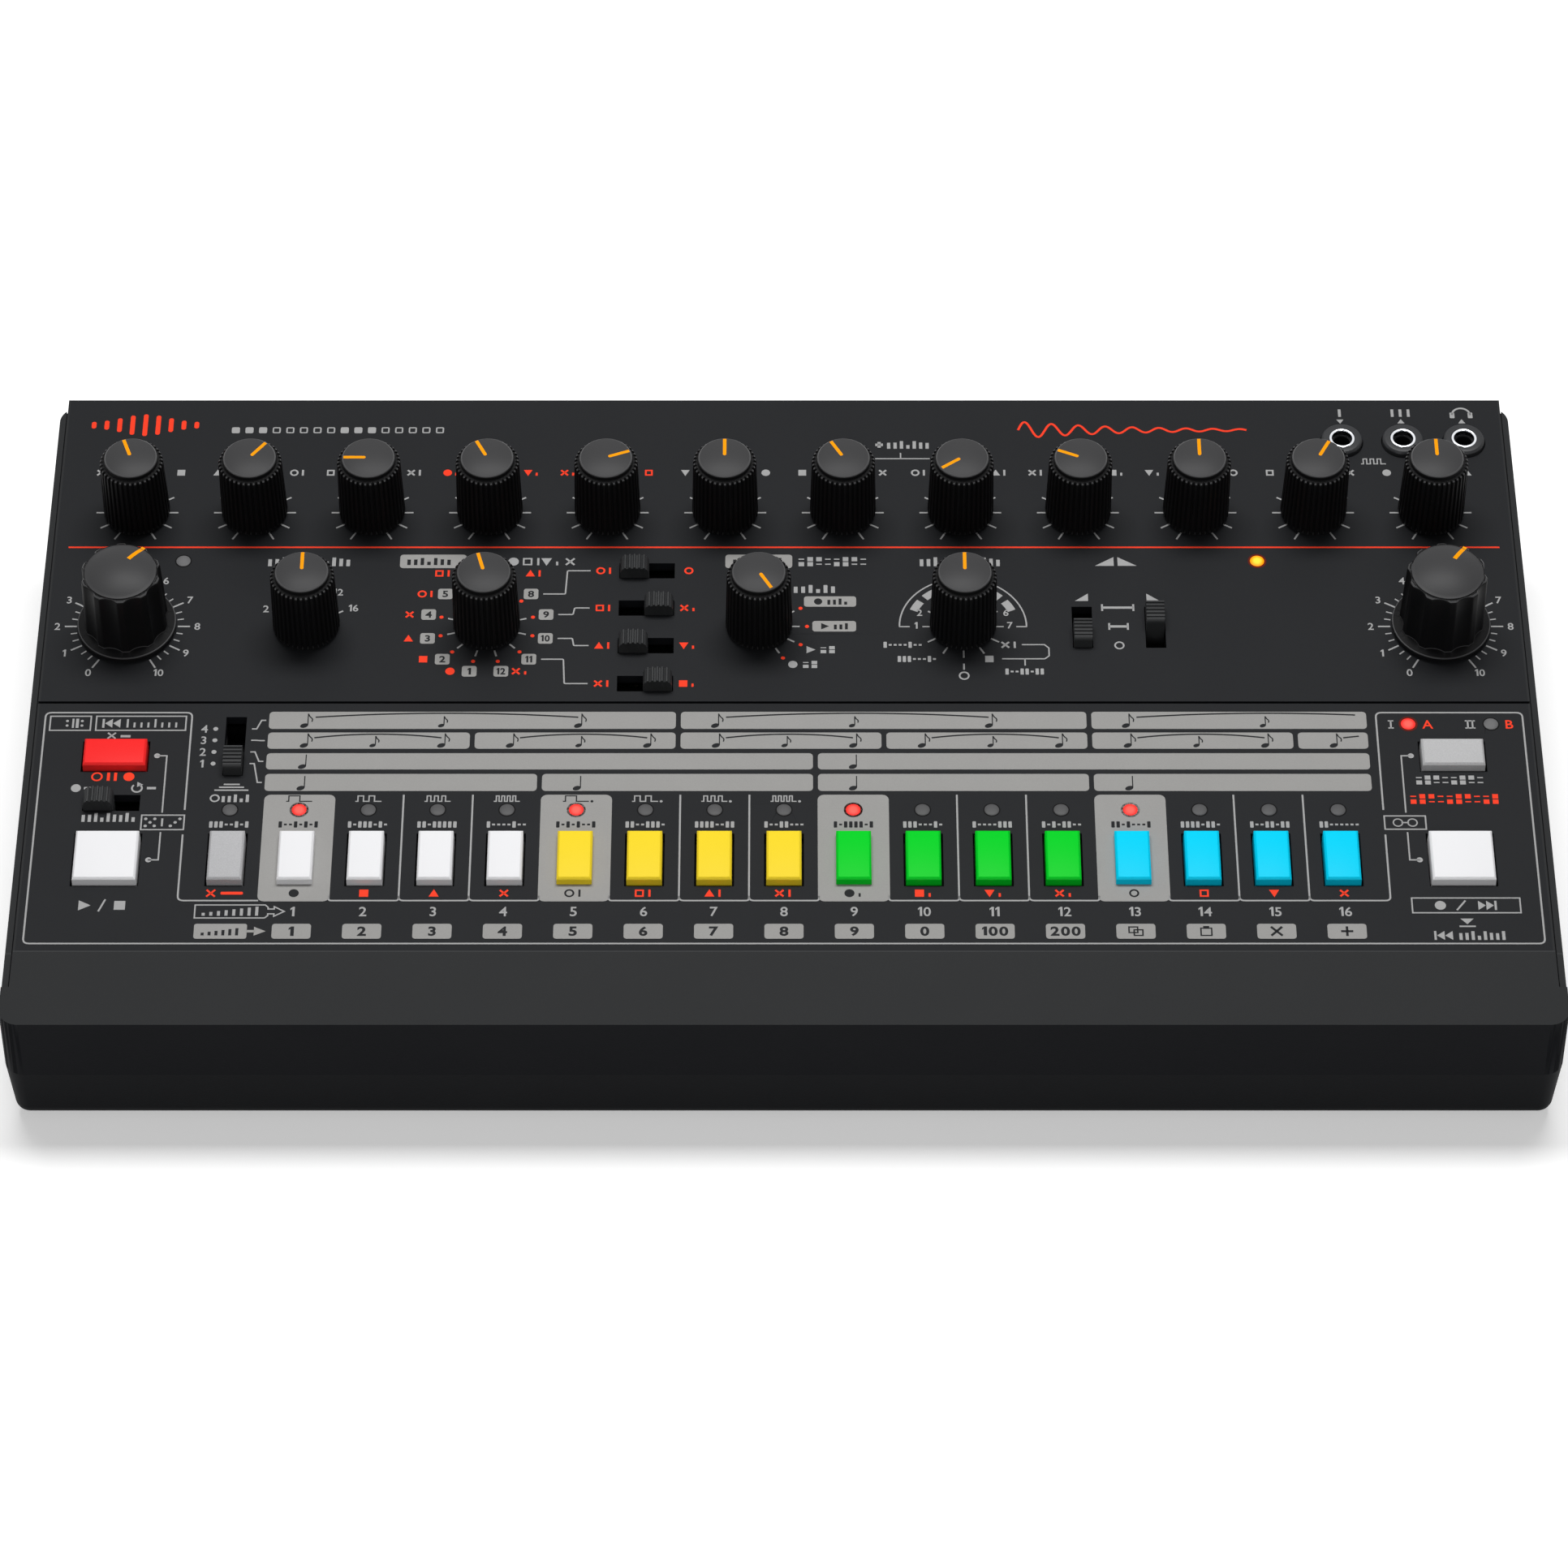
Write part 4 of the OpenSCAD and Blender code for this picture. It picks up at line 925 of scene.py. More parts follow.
class DRUM_OT_levers(bpy.types.Operator):
    """Slide switch levers with a ribbed grip"""
    bl_idname = "drum.levers"
    bl_label = "Slide switch levers"

    bottom = -8.0
    rib_w = 0.3
    rib_h = 0.34
    rib_pitch = 0.96
    rib_count = 5

    def form(self, long, wide, top, arch):
        """Side outline with ribs on its arched top, drawn out to the lever's width"""
        def crown(x):
            return top - self.rib_h - arch * (2 * x / long) ** 2

        half, shoulder = long / 2, top - 1.3 - arch
        outline = [(-half, self.bottom), (half, self.bottom), (half, shoulder),
                   (half - 0.22, crown(half) - 0.3), (half - 0.5, crown(half - 0.5))]
        for index in range(self.rib_count - 1, -1, -1):
            middle = (index - (self.rib_count - 1) / 2) * self.rib_pitch
            base = crown(middle)
            outline += [(middle + self.rib_w / 2 + 0.1, base), (middle + self.rib_w / 2, base + self.rib_h),
                        (middle - self.rib_w / 2, base + self.rib_h), (middle - self.rib_w / 2 - 0.1, base)]
        outline += [(0.5 - half, crown(half - 0.5)), (0.22 - half, crown(half) - 0.3), (-half, shoulder)]
        bm = bmesh.new()
        face = bm.faces.new([bm.verts.new((x, -wide / 2, z)) for x, z in outline])
        draw_out(bm, [face], (0, wide, 0))
        bmesh.ops.recalc_face_normals(bm, faces=bm.faces)
        sharp = [edge for edge in bm.edges if edge.calc_face_angle(0) > 0.5
                 and min(vertex.co.z for vertex in edge.verts) > 0]
        bevel_edges(bm, sharp, 0.05, 1)
        return bm

    def execute(self, context):
        # painted highlight with a little wear on the edges of the grip's ribs
        dark = moulded("Lever plastic", colours().lever, 0.42, specular=0.14, grain=4000, depth=0.03,
                       wear=0.35)
        for body in WIDE_LEVERS + TALL_LEVERS:
            low, high = panel_extent(body, GRIP_ABOVE)
            spans = (high.x - low.x, high.y - low.y)
            if body in WIDE_LEVERS:
                bm, turn = self.form(*spans, high.z, 0.5), 0
            else:
                bm, turn = self.form(*spans[::-1], high.z, 0.1), 90
            bmesh.ops.transform(bm, matrix=PANEL @ at(*centre_of(low, high), turn=turn), verts=bm.verts)
            link_piece(f"{body}_grip", bm, dark, body, (body,), sharp=30.0)
        return {"FINISHED"}


# ---------------------------------------------------------------- lamps


class DRUM_OT_lamps(bpy.types.Operator):
    """Flush round lamps on two legs, lit red, lit orange and unlit, in flat rings: black ones of painted shade
    round the unlit lamps and red ones of painted glow round the lit ones
    """
    bl_idname = "drum.lamps"
    bl_label = "Lamps"

    r = 1.48
    top = 0.2
    foot = -5.0
    flange = 0.25
    flange_t = 0.9
    leg_place = 0.7
    leg_half = 0.2
    board = -9.0
    seat_r = 1.72
    # outer radius of the red ring of painted glow round a lit lamp
    glow_r = 1.9
    # past the first of these rows is the orange lamp, and past the second the side blocks' unlit lamps, painted
    # lighter
    orange_row = 100.0
    step_row = 60.0

    def lamp(self):
        """One lamp at the origin, with how near its middle each point lies as an attribute"""
        dome = [(self.r * cos(radians(a)), self.top * sin(radians(a))) for a in range(0, 90, 10)]
        brim, brim_top = self.r + self.flange, self.foot + self.flange_t
        bm = spun([(0, self.foot), (brim, self.foot), (brim, brim_top), (self.r, brim_top), *dome,
                   (0, self.top)], 40)
        half = self.leg_half
        for side in (-1, 1):
            middle = side * self.leg_place
            add_block(bm, (middle - half, -half, self.board), (middle + half, half, self.foot + 0.01))
        middle = bm.verts.layers.float.new("middle")
        for vertex in bm.verts:
            vertex[middle] = max(0.0, 1 - hypot(vertex.co.x, vertex.co.y) / self.r)
        return bm

    # flat ring in the gap round a lamp: black, a painted shade round an unlit lamp, and red, a painted glow round
    # a lit one
    def seat(self, outer):
        inner = self.r - 0.02
        return spun_ring([(inner, -0.6), (self.seat_r - 0.12, -0.6), (outer, 0.0), (outer, 0.02),
                          (inner, 0.02)], 40)

    def execute(self, context):
        paint = colours()
        red = lamp_finish("Lit red lamp", paint.lit, srgb(255, 92, 82), 0.35)
        orange = lamp_finish("Lit orange lamp", paint.status, srgb(255, 216, 60), 0.35)
        grey = lamp_finish("Unlit lamp", paint.unlit, tuple(min(1, part * 1.15) for part in paint.unlit), 0.0)
        # painted light: the same lamp in two tones, lighter in the side blocks than in the step row, as the light
        # falls on them differently
        painted_lighter = lamp_finish("Unlit side lamp", srgb(104, 104, 105), srgb(112, 112, 113), 0.0)
        # painted shade: a black ring fills the gap round each unlit lamp, where shade falls
        black = moulded("Lamp seat plastic", srgb(10, 10, 11), 0.5, specular=0.05)
        # painted glow: a red ring round each lit lamp stands in for its light on the panel
        painted_halo = moulded("Lit seat plastic", srgb(98, 28, 18), 0.5, specular=0.05)
        lit, off = ([panel_place((low + high) / 2) for low, high in solids_in(node)]
                    for node in ("leds_lit", "leds_off"))
        groups = [
            ("lamps_red", [p for p in lit if p[1] < self.orange_row], red, "lamp_red", ("leds_lit",)),
            ("lamp_orange", [p for p in lit if p[1] > self.orange_row], orange, "lamp_red", ("leds_lit",)),
            ("lamps_unlit", [p for p in off if p[1] < self.step_row], grey, "lamp_grey", ("leds_off",)),
            ("lamps_unlit_side", [p for p in off if p[1] > self.step_row], painted_lighter, "lamp_grey", ("leds_off",)),
        ]
        for name, places, finish, slot, stands_for in groups:
            self.set_in(places, self.lamp, (name, finish, slot, stands_for))
        self.set_in(off, lambda: self.seat(self.seat_r), ("lamp_seats", black, "lamp_grey", ()))
        self.set_in(lit, lambda: self.seat(self.glow_r), ("lit_lamp_seats", painted_halo, "lamp_grey", ()))
        return {"FINISHED"}

    @staticmethod
    def set_in(places, maker, piece):
        """Makes one piece of a form that is repeated at some places"""
        name, finish, slot, stands_for = piece
        bm = bmesh.new()
        for u, v in places:
            merge_in(bm, maker(), PANEL @ at(u, v))
        link_piece(name, bm, finish, "case", stands_for)


# ---------------------------------------------------------------- sockets


class DRUM_OT_top_sockets(bpy.types.Operator):
    """Panel sockets: chamfered collars, bright sleeves and bodies under the panel, with a black liner in each bore
    as painted shade
    """
    bl_idname = "drum.top_sockets"
    bl_label = "Panel sockets"

    bore_r = 1.8
    mouth_r = 2.08
    sleeve_r = 2.7
    collar_r = 4.3
    collar_h = 1.3
    collar_low = -2.2
    body_r = 4.4
    body_top = -2.5
    body_low = -9.0
    # black liner laid inside the sleeve, a painted shade down the bore
    liner_top = -0.2
    liner_low = -4.0

    def collar(self):
        inner, outer, top = self.sleeve_r + 0.03, self.collar_r, self.collar_h
        return spun_ring([(inner, self.collar_low), (outer, self.collar_low), (outer, top - 0.52),
                          (outer - 0.03, top - 0.45), (outer - 0.42, top - 0.03), (outer - 0.5, top),
                          (inner + 0.06, top), (inner, top - 0.06)], 96)

    def sleeve(self):
        """Bright sleeve with a round lip"""
        top = self.collar_h + 0.1
        lip_r = (self.sleeve_r - self.mouth_r) / 2
        lip = [(self.sleeve_r - lip_r + lip_r * cos(radians(a)), top - lip_r + lip_r * sin(radians(a)))
               for a in range(0, 181, 20)]
        return spun_ring([(self.sleeve_r, self.body_top), *lip, (self.mouth_r, self.body_top)], 72)

    def inside(self):
        """Square body under the panel, and the black liner of its bore, a painted shade laid inside the sleeve"""
        bm = bmesh.new()
        inner = self.bore_r
        for outer, top, low, sides in ((self.body_r, self.body_top, self.body_low, 4),
                                       (self.mouth_r - 0.01, self.liner_top, self.liner_low, 48)):
            merge_in(bm, spun_ring([(inner, top), (outer, top), (outer, low), (inner, low)], sides))
        return bm

    def execute(self, context):
        dark = moulded("Socket collar plastic", srgb(46, 47, 49), 0.36, specular=0.2, depth=0.02)
        chrome = plated("Socket chrome", srgb(232, 234, 238), 0.12, depth=0.02)
        # the body under the panel, and the liner that paints the shade down the bore
        black = moulded("Socket body plastic", srgb(18, 18, 19), 0.5)
        makers = [("collars", self.collar, dark, ("top_jacks",)), ("sleeves", self.sleeve, chrome, ()),
                  ("bodies", self.inside, black, ())]
        for part, maker, finish, stands_for in makers:
            bm = bmesh.new()
            for name in TOP_SOCKETS:
                u, v = panel_place(mount(name)["pos_m"])
                turn = 45 if part == "bodies" else 0
                merge_in(bm, maker(), PANEL @ at(u, v, turn=turn))
            link_piece(f"socket_{part}", bm, finish, "case", stands_for)
        return {"FINISHED"}


class DRUM_OT_rear_sockets(bpy.types.Operator):
    """Finishes the rear sockets and adds their shields, contacts, pin and nut"""
    bl_idname = "drum.rear_sockets"
    bl_label = "Rear sockets"

    # widths that tell the sockets' solids apart, and the depth past which a narrow one is a USB socket
    din_wide, inlet_wide, usb_wide = 18, 9, 12
    usb_deep, output_deep = 10, 20
    inlet_axis = 6.5
    shield_r = 6.98
    contact_circle = 3.7
    contact_r = 0.78
    liner_r = 2.88
    pin_r = 1.06
    mouth = (4.24, 3.89)
    mouth_deep = -8.5
    sheet = 0.3
    blade = (0.5, 0.06)
    barrel_r = 4.8
    nut_r = 6.9

    @staticmethod
    def outwards(x, y, z):
        """Takes millimetres with +Z out of the rear side to a place in metres"""
        return Matrix.Translation((x, y, z)) @ Matrix.Rotation(-pi / 2, 4, "X") @ Matrix.Scale(MM, 4)

    def wall_ring(self, outer, wall, top, bottom, segments=48):
        inner = outer - wall
        return spun_ring([(outer, bottom), (outer, top), (inner, top), (inner, bottom)], segments)

    def usb_shell(self):
        """Sheet lining of the square mouth"""
        bm, (wide, tall) = bmesh.new(), self.mouth
        for side in (-1, 1):
            low, high = sorted((side * tall, side * (tall - self.sheet)))
            add_block(bm, (-wide, low, self.mouth_deep), (wide, high, -0.2))
            low, high = sorted((side * wide, side * (wide - self.sheet)))
            add_block(bm, (low, -tall, self.mouth_deep), (high, tall, -0.2))
        return bm

    def usb_contacts(self):
        """Four blades, two on each face of the tongue"""
        bm, (wide, thick) = bmesh.new(), self.blade
        for v in (-1.64, 1.64):
            for u in (-1.2, 1.2):
                add_block(bm, (u - wide, v - thick, -8.0), (u + wide, v + thick, -1.2))
        return bm

    def din_socket(self, metal, brass, place):
        """Shield and five contact tubes"""
        merge_in(metal, self.wall_ring(self.shield_r, 0.28, -0.5, -7.5), place)
        for turn in range(0, 181, 45):
            spot = Matrix.Rotation(radians(turn), 4, "Z") @ Vector((self.contact_circle, 0, 0))
            merge_in(brass, self.wall_ring(self.contact_r, 0.24, -0.9, -7.0, 16),
                     place @ Matrix.Translation(spot))

    def power_inlet(self, metal, place):
        """Liner and round pin"""
        merge_in(metal, self.wall_ring(self.liner_r, 0.25, -0.4, -8.0), place)
        pin = [(0, -8.9), (self.pin_r, -8.9), (self.pin_r, -0.62), (0.8, -0.4), (0, -0.4)]
        merge_in(metal, spun(pin, 24), place)

    def main_output(self, metal, place):
        """Lip of the barrel and hexagonal nut"""
        merge_in(metal, self.wall_ring(self.barrel_r - 0.05, 1.4, 0.12, -0.05, 72), place)
        merge_in(metal, spun_ring([(self.barrel_r, -1.15), (self.nut_r, -1.15), (self.nut_r, -0.25),
                                   (self.nut_r - 0.3, -0.1), (self.barrel_r, -0.1)], 6), place)

    def execute(self, context):
        give_finish("rear_sockets", moulded("Rear socket plastic", srgb(22, 23, 25), 0.42, specular=0.15))
        soften("rear_sockets", 0.12)
        metal, brass = bmesh.new(), bmesh.new()
        axis = Vector(mount("main_out")["pos_m"])
        for low, high in solids_in("rear_sockets"):
            span = (high - low) / MM
            x, y = (low.x + high.x) / 2, high.y
            if abs(span.x - self.din_wide) < 0.5:
                self.din_socket(metal, brass, self.outwards(x, y, axis.z))
            elif abs(span.x - self.inlet_wide) < 0.5:
                self.power_inlet(metal, self.outwards(x, y, low.z + self.inlet_axis * MM))
            elif abs(span.x - self.usb_wide) < 0.5 and span.y > self.usb_deep:
                place = self.outwards(x, y, (low.z + high.z) / 2)
                merge_in(metal, self.usb_shell(), place)
                merge_in(brass, self.usb_contacts(), place)
            elif span.y > self.output_deep:
                self.main_output(metal, self.outwards(axis.x, y, axis.z))
        nickel = plated("Socket nickel", srgb(122, 124, 128), 0.3, depth=0.03)
        gilt = plated("Contact brass", srgb(214, 178, 104), 0.25, depth=0.02)
        link_piece("rear_socket_metal", metal, nickel, "case")
        link_piece("rear_socket_contacts", brass, gilt, "case")
        return {"FINISHED"}


# ---------------------------------------------------------------- print


class Ink:
    """Flat shapes in one colour of ink, in panel millimetres"""

    def __init__(self):
        self.bm = bmesh.new()

    def rect(self, u0, v0, u1, v1, corner=0.0):
        place = at((u0 + u1) / 2, (v0 + v1) / 2, stretch=(abs(u1 - u0), abs(v1 - v0), 1))
        made = bmesh.ops.create_grid(self.bm, x_segments=1, y_segments=1, size=0.5, matrix=place)
        if not corner:
            return made["verts"]
        rounded = bmesh.ops.bevel(self.bm, geom=made["verts"], offset=corner, offset_type="OFFSET",
                                  affect="VERTICES", segments=4, profile=0.5, material=-1)
        return rounded["verts"]

    def hollow(self, verts, line):
        """Leaves only a line along the rim of the face at some corners"""
        face = verts[0].link_faces[0]
        bmesh.ops.inset_region(self.bm, faces=[face], thickness=line, use_even_offset=True, use_boundary=True)
        bmesh.ops.delete(self.bm, geom=[face], context="FACES")

    def frame(self, u0, v0, u1, v1, line, corner=0.0):
        """Outline of a rectangle, its line inside the given sides"""
        self.hollow(self.rect(u0, v0, u1, v1, corner), line)

    def disc(self, u, v, radius, segments=28, stretch=(1, 1, 1), turn=0.0):
        bmesh.ops.create_circle(self.bm, cap_ends=True, radius=radius, segments=segments,
                                matrix=at(u, v, turn=turn, stretch=stretch))

    def ring(self, u, v, radius, line):
        made = bmesh.ops.create_circle(self.bm, cap_ends=True, radius=radius, segments=36, matrix=at(u, v))
        self.hollow(made["verts"], line)

    def cross(self, u0, v0, u1, v1, line):
        """Both diagonals of a rectangle"""
        self.path([(u0, v0), (u1, v1)], line)
        self.path([(u0, v1), (u1, v0)], line)

    def shape(self, points):
        self.bm.faces.new([self.bm.verts.new((u, v, 0)) for u, v in points])

    def path(self, points, line, corner=0.0):
        """Line through points, with round bends where corner is given"""
        route = bent(points, corner) if corner else [Vector(point) for point in points]
        left, right = [], []
        for index, spot in enumerate(route):
            before = (spot - route[index - 1]).normalized() if index else None
            after = (route[index + 1] - spot).normalized() if index < len(route) - 1 else None
            on = after or before
            way = ((before or after) + on).normalized()
            side = Vector((-way.y, way.x))
            spread = line / 2 / max(0.3, side.dot(Vector((-on.y, on.x))))
            left.append(self.bm.verts.new((*(spot + side * spread), 0)))
            right.append(self.bm.verts.new((*(spot - side * spread), 0)))
        for a, b, c, d in zip(left, left[1:], right[1:], right):
            self.bm.faces.new((a, b, c, d))

    def arc(self, u, v, radius, start, end, line, steps=40):
        """Part of a circle; angles are clockwise from straight up, in degrees"""
        turns = [radians(start + (end - start) * step / steps) for step in range(steps + 1)]
        self.path([(u + radius * sin(turn), v + radius * cos(turn)) for turn in turns], line)

    def tick(self, u, v, angle, inner, outer, line):
        turn = radians(angle)
        self.path([(u + r * sin(turn), v + r * cos(turn)) for r in (inner, outer)], line)

    def words(self, u, v, body, height, weight=0.012, widen=1.0):
        """Numbers and single letters, centred"""
        mesh = lettering(body, weight)
        spots = [vertex.co for vertex in mesh.vertices]
        low, high = Vector(map(min, *spots)), Vector(map(max, *spots))
        scale = height / (high.y - low.y)
        placed = mesh.copy()
        placed.transform(at(u, v, stretch=(scale * widen, scale, 1)) @ Matrix.Translation(-(low + high) / 2))
        self.bm.from_mesh(placed)
        bpy.data.meshes.remove(placed)

    def thicken(self, low, high):
        """Gives every shape its thickness"""
        bmesh.ops.remove_doubles(self.bm, verts=self.bm.verts, dist=1e-5)
        bmesh.ops.translate(self.bm, verts=self.bm.verts, vec=(0, 0, low))
        draw_out(self.bm, self.bm.faces[:], (0, 0, high - low))
        bmesh.ops.transform(self.bm, matrix=PANEL, verts=self.bm.verts)
        return self.bm


LETTERS = {}


def character(sign, weight):
    """Flat mesh of one number or letter; a one is a stem with a flag"""
    if sign == "1":
        stem, half, tall = 0.19, 0.06 + weight, 0.73
        outline = [(stem - half, 0), (stem + half, 0), (stem + half, tall), (stem - half * 0.6, tall),
                   (0, tall - 0.13), (0, tall - 0.25 - weight), (stem - half, tall - 0.15 - weight)]
        bm = bmesh.new()
        bm.faces.new([bm.verts.new((x, y, 0)) for x, y in outline])
        mesh = bpy.data.meshes.new("one")
        bm.to_mesh(mesh)
        bm.free()
        return mesh
    curve = bpy.data.curves.new("number", "FONT")
    curve.body = sign
    curve.offset = weight
    curve.resolution_u = 4
    holder = bpy.data.objects.new("number", curve)
    mesh = bpy.data.meshes.new_from_object(holder)
    bpy.data.objects.remove(holder)
    return mesh


def lettering(body, weight):
    """Flat mesh of a number, kept for its next use"""
    if (body, weight) not in LETTERS:
        bm = bmesh.new()
        edge = 0.0
        for sign in body:
            mesh = character(sign, weight)
            low = min(vertex.co.x for vertex in mesh.vertices)
            high = max(vertex.co.x for vertex in mesh.vertices)
            mesh.transform(Matrix.Translation((edge - low, 0, 0)))
            bm.from_mesh(mesh)
            bpy.data.meshes.remove(mesh)
            edge += high - low + 0.085
        LETTERS[body, weight] = bpy.data.meshes.new("number")
        bm.to_mesh(LETTERS[body, weight])
        bm.free()
    return LETTERS[body, weight]


def bent(points, corner, steps=5):
    """Route through points with its bends rounded"""
    spots = [Vector(point) for point in points]
    route = [spots[0]]
    for before, spot, after in zip(spots, spots[1:], spots[2:]):
        back, on = (before - spot), (after - spot)
        reach = min(corner, back.length / 2, on.length / 2)
        start, end = spot + back.normalized() * reach, spot + on.normalized() * reach
        for step in range(steps + 1):
            share = step / steps
            route.append(start * (1 - share) ** 2 + spot * 2 * share * (1 - share) + end * share ** 2)
    return route + [spots[-1]]


class DRUM_OT_print(bpy.types.Operator):
    """Screen print on the panel: frames, bars, dials, numbers and plain signs"""
    bl_idname = "drum.print"
    bl_label = "Panel print"

    def execute(self, context):
        self.grey, self.field, self.red, self.dark = Ink(), Ink(), Ink(), Ink()
        self.line, self.fine = size("line"), size("tick")
        self.thin, self.link = self.line * 0.85, self.line * 0.8
        self.steps = [centre_of(*panel_extent(body, 0.0))[0] for body in STEP_KEYS]
        self.pitch = (self.steps[-1] - self.steps[0]) / (len(self.steps) - 1)
        self.function_u = self.steps[0] - self.pitch
        self.frames()
        self.note_bars()
        self.step_labels()
        self.side_blocks()
        self.scale_links()
        self.level_dials()
        self.large_dials()
        self.selector_dials()
        self.upper_titles()
        paint = colours()
        ink = size("ink")
        layers = [("print_field", self.field, inked("Field ink", paint.print_field), 0.0, ink),
                  ("print_grey", self.grey, inked("Grey ink", paint.print_grey), 0.0, ink),
                  ("print_red", self.red, inked("Red ink", paint.print_red, 0.5), 0.0, ink * 1.2),
                  ("print_dark", self.dark, inked("Dark ink", paint.print_dark, 0.5), ink * 0.5, ink * 1.5)]
        for name, layer, finish, low, high in layers:
            link_piece(name, layer.thicken(low, high), finish, "case")
        return {"FINISHED"}

    # frames round the keys and the side blocks, with a gap in their inner sides
    side_u = 149.1
    inner_u = 119.5
    frame_v = (20.4, 79.4)
    column_v = (31.1, 58.0)
    gap_v = (47.8, 54.1)

    def frames(self):
        low, high = self.frame_v
        foot, top = self.column_v
        gap_low, gap_high = self.gap_v
        first = self.steps[0] - self.pitch / 2
        for side in (-1, 1):
            inner, outer = side * self.inner_u, side * self.side_u
            self.grey.path([(inner, gap_high), (inner, high), (outer, high), (outer, low), (0, low)],
                           self.line, 1.2)
        self.grey.path([(-self.inner_u, gap_low), (-self.inner_u, foot), (first, foot)], self.line, 1.2)
        for index, u in enumerate(self.steps):
            left, right = u - self.pitch / 2, u + self.pitch / 2
            if index % 4 == 0:
                self.field.rect(left - 0.2, foot - 0.2, right + 0.2, top, 1.3)
                continue
            ends = [(left, top if index % 4 > 1 else foot + 1.2), (left, foot)]
            if index == len(self.steps) - 1:
                ends += [(self.inner_u, foot), (self.inner_u, gap_low)]
            else:
                ends += [(right, foot), (right, foot + 1.2)]
            self.grey.path(ends, self.line, 1.0)

    bar_rows = ((75.13, 79.62, 6), (69.93, 74.17, 3), (64.54, 68.76, 8), (58.97, 63.38, 4))
    bar_ends = (-103.9, 117.55)

    def note_bars(self):
        """Grey bars with the beats of each scale"""
        for row, (low, high, count) in enumerate(self.bar_rows):
            for first in range(0, 16, count):
                last = min(first + count, 16)
                left = self.bar_ends[0] if first == 0 else self.steps[first] - self.pitch / 2 - 0.1
                right = self.bar_ends[1] if last == 16 else self.steps[last - 1] + self.pitch / 2 - 1.1
                self.field.rect(left, low, right, high, 0.8)
                if row < 2:
                    self.triplets(row, first, last, low)
                else:
                    self.note(self.steps[first], low + 0.72, 1.0, False)

    def triplets(self, row, first, last, low):
        """Three notes under one slur"""
        stride = 2 if row == 0 else 1
        foot = low + 0.85
        shift = 0.1 if row else -0.1
        for place, index in enumerate(range(first, min(first + 3 * stride, last), stride)):
            self.note(self.steps[index] + shift, foot, 0.78 if place == 1 else 1.0, True)
        start = self.steps[first] + 2.1
        end = self.steps[first] + 2 * stride * self.pitch + shift
        cut = min(end, self.bar_ends[1] - 0.9)
        rise, base = (1.05, low + 3.05) if row == 0 else (0.95, low + 2.85)
        points = []
        for step in range(25):
            u = start + (end - start) * step / 24
            if u > cut:
                break
            points.append((u, base + 4 * rise * (step / 24) * (1 - step / 24)))
        if len(points) > 2:
            self.dark.path(points, 0.35)

    def note(self, u, v, scale, flag):
        """Note with its head at (u, v)"""
        self.dark.disc(u, v, 0.5, stretch=(1.7 * scale, 1.1 * scale, 1), turn=22)
        stem = u + 0.72 * scale
        self.dark.path([(stem, v + 0.2), (stem, v + 3.15 * scale)], 0.22)
        if flag:
            self.dark.path([(stem, v + 3.1 * scale), (stem + 0.35 * scale, v + 2.3 * scale),
                            (stem + 0.95 * scale, v + 1.75 * scale), (stem + 0.8 * scale, v + 1.0 * scale)],
                           0.26, 0.4)

    # rows of labels under, on and over the keys
    number_v = 28.36
    box_v = (21.6, 25.3)
    box_half = 3.84
    voice_v = 32.95
    beat_v = 50.35
    clock_v = 57.0
    label_tall = 2.35

    def step_labels(self):
        low, high = self.box_v
        middle = (low + high) / 2
        for index, u in enumerate(self.steps):
            sign, voice = (self.dark, self.dark) if index % 4 == 0 else (self.grey, self.red)
            self.grey.words(u, self.number_v, str(index + 1), self.label_tall)
            self.field.rect(u - self.box_half, low, u + self.box_half, high, 0.6)
            if index < 12:
                entry = [*range(1, 10), 0, 100, 200][index]
                self.dark.words(u, middle, str(entry), self.label_tall, 0.035, 1.15)
            else:
                self.edit_sign(index - 12, u, middle)
            self.voice_sign(voice, index, u, self.voice_v, 2.0)
            self.beat_sign(sign, index, u, self.beat_v)
            if index < 8:
                self.clock_sign(sign, index, u, self.clock_v)
        u = self.function_u
        self.beat_sign(self.grey, 16, u, self.beat_v)
        self.red.cross(u - 3.4, 32.1, u - 1.7, 33.8, 0.4)
        self.red.rect(u - 0.6, 32.6, u + 3.8, 33.3, 0.2)
        self.arrow_box(self.grey, -115.9, -101.5, 26.75, 30.0, -98.3, False)
        self.arrow_box(self.field, -115.8, -105.4, low, high, -101.7, True)

    def arrow_box(self, ink, left, right, low, high, tip, filled):
        """Box with an arrow out of its right side, and bars of rising height in it"""
        middle = (low + high) / 2
        if filled:
            ink.rect(left, low, right, high, 0.5)
            ink.rect(right - 0.1, middle - 0.3, tip - 2.2, middle + 0.3)
            ink.shape([(tip - 2.3, middle - 1.1), (tip, middle), (tip - 2.3, middle + 1.1)])
        else:
            neck, barb = 0.6, 1.2
            wing = [(right - neck, low), (left, low), (left, high), (right - neck, high),
                    (right, high - neck), (right, middle + neck), (tip - 2.0, middle + neck),
                    (tip - 2.0, middle + barb),
                    (tip, middle), (tip - 2.0, middle - barb), (tip - 2.0, middle - neck),
                    (right, middle - neck), (right, low + neck), (right - neck, low)]
            ink.path(wing, self.link)
        signs = self.dark if filled else self.grey
        for bar in range(6 if filled else 8):
            u = left + 1.4 + bar * (1.35 if filled else 1.5)
            tall = 0.7 + 0.22 * bar
            signs.rect(u, middle - 1.05, u + 0.6, middle - 1.05 + tall)

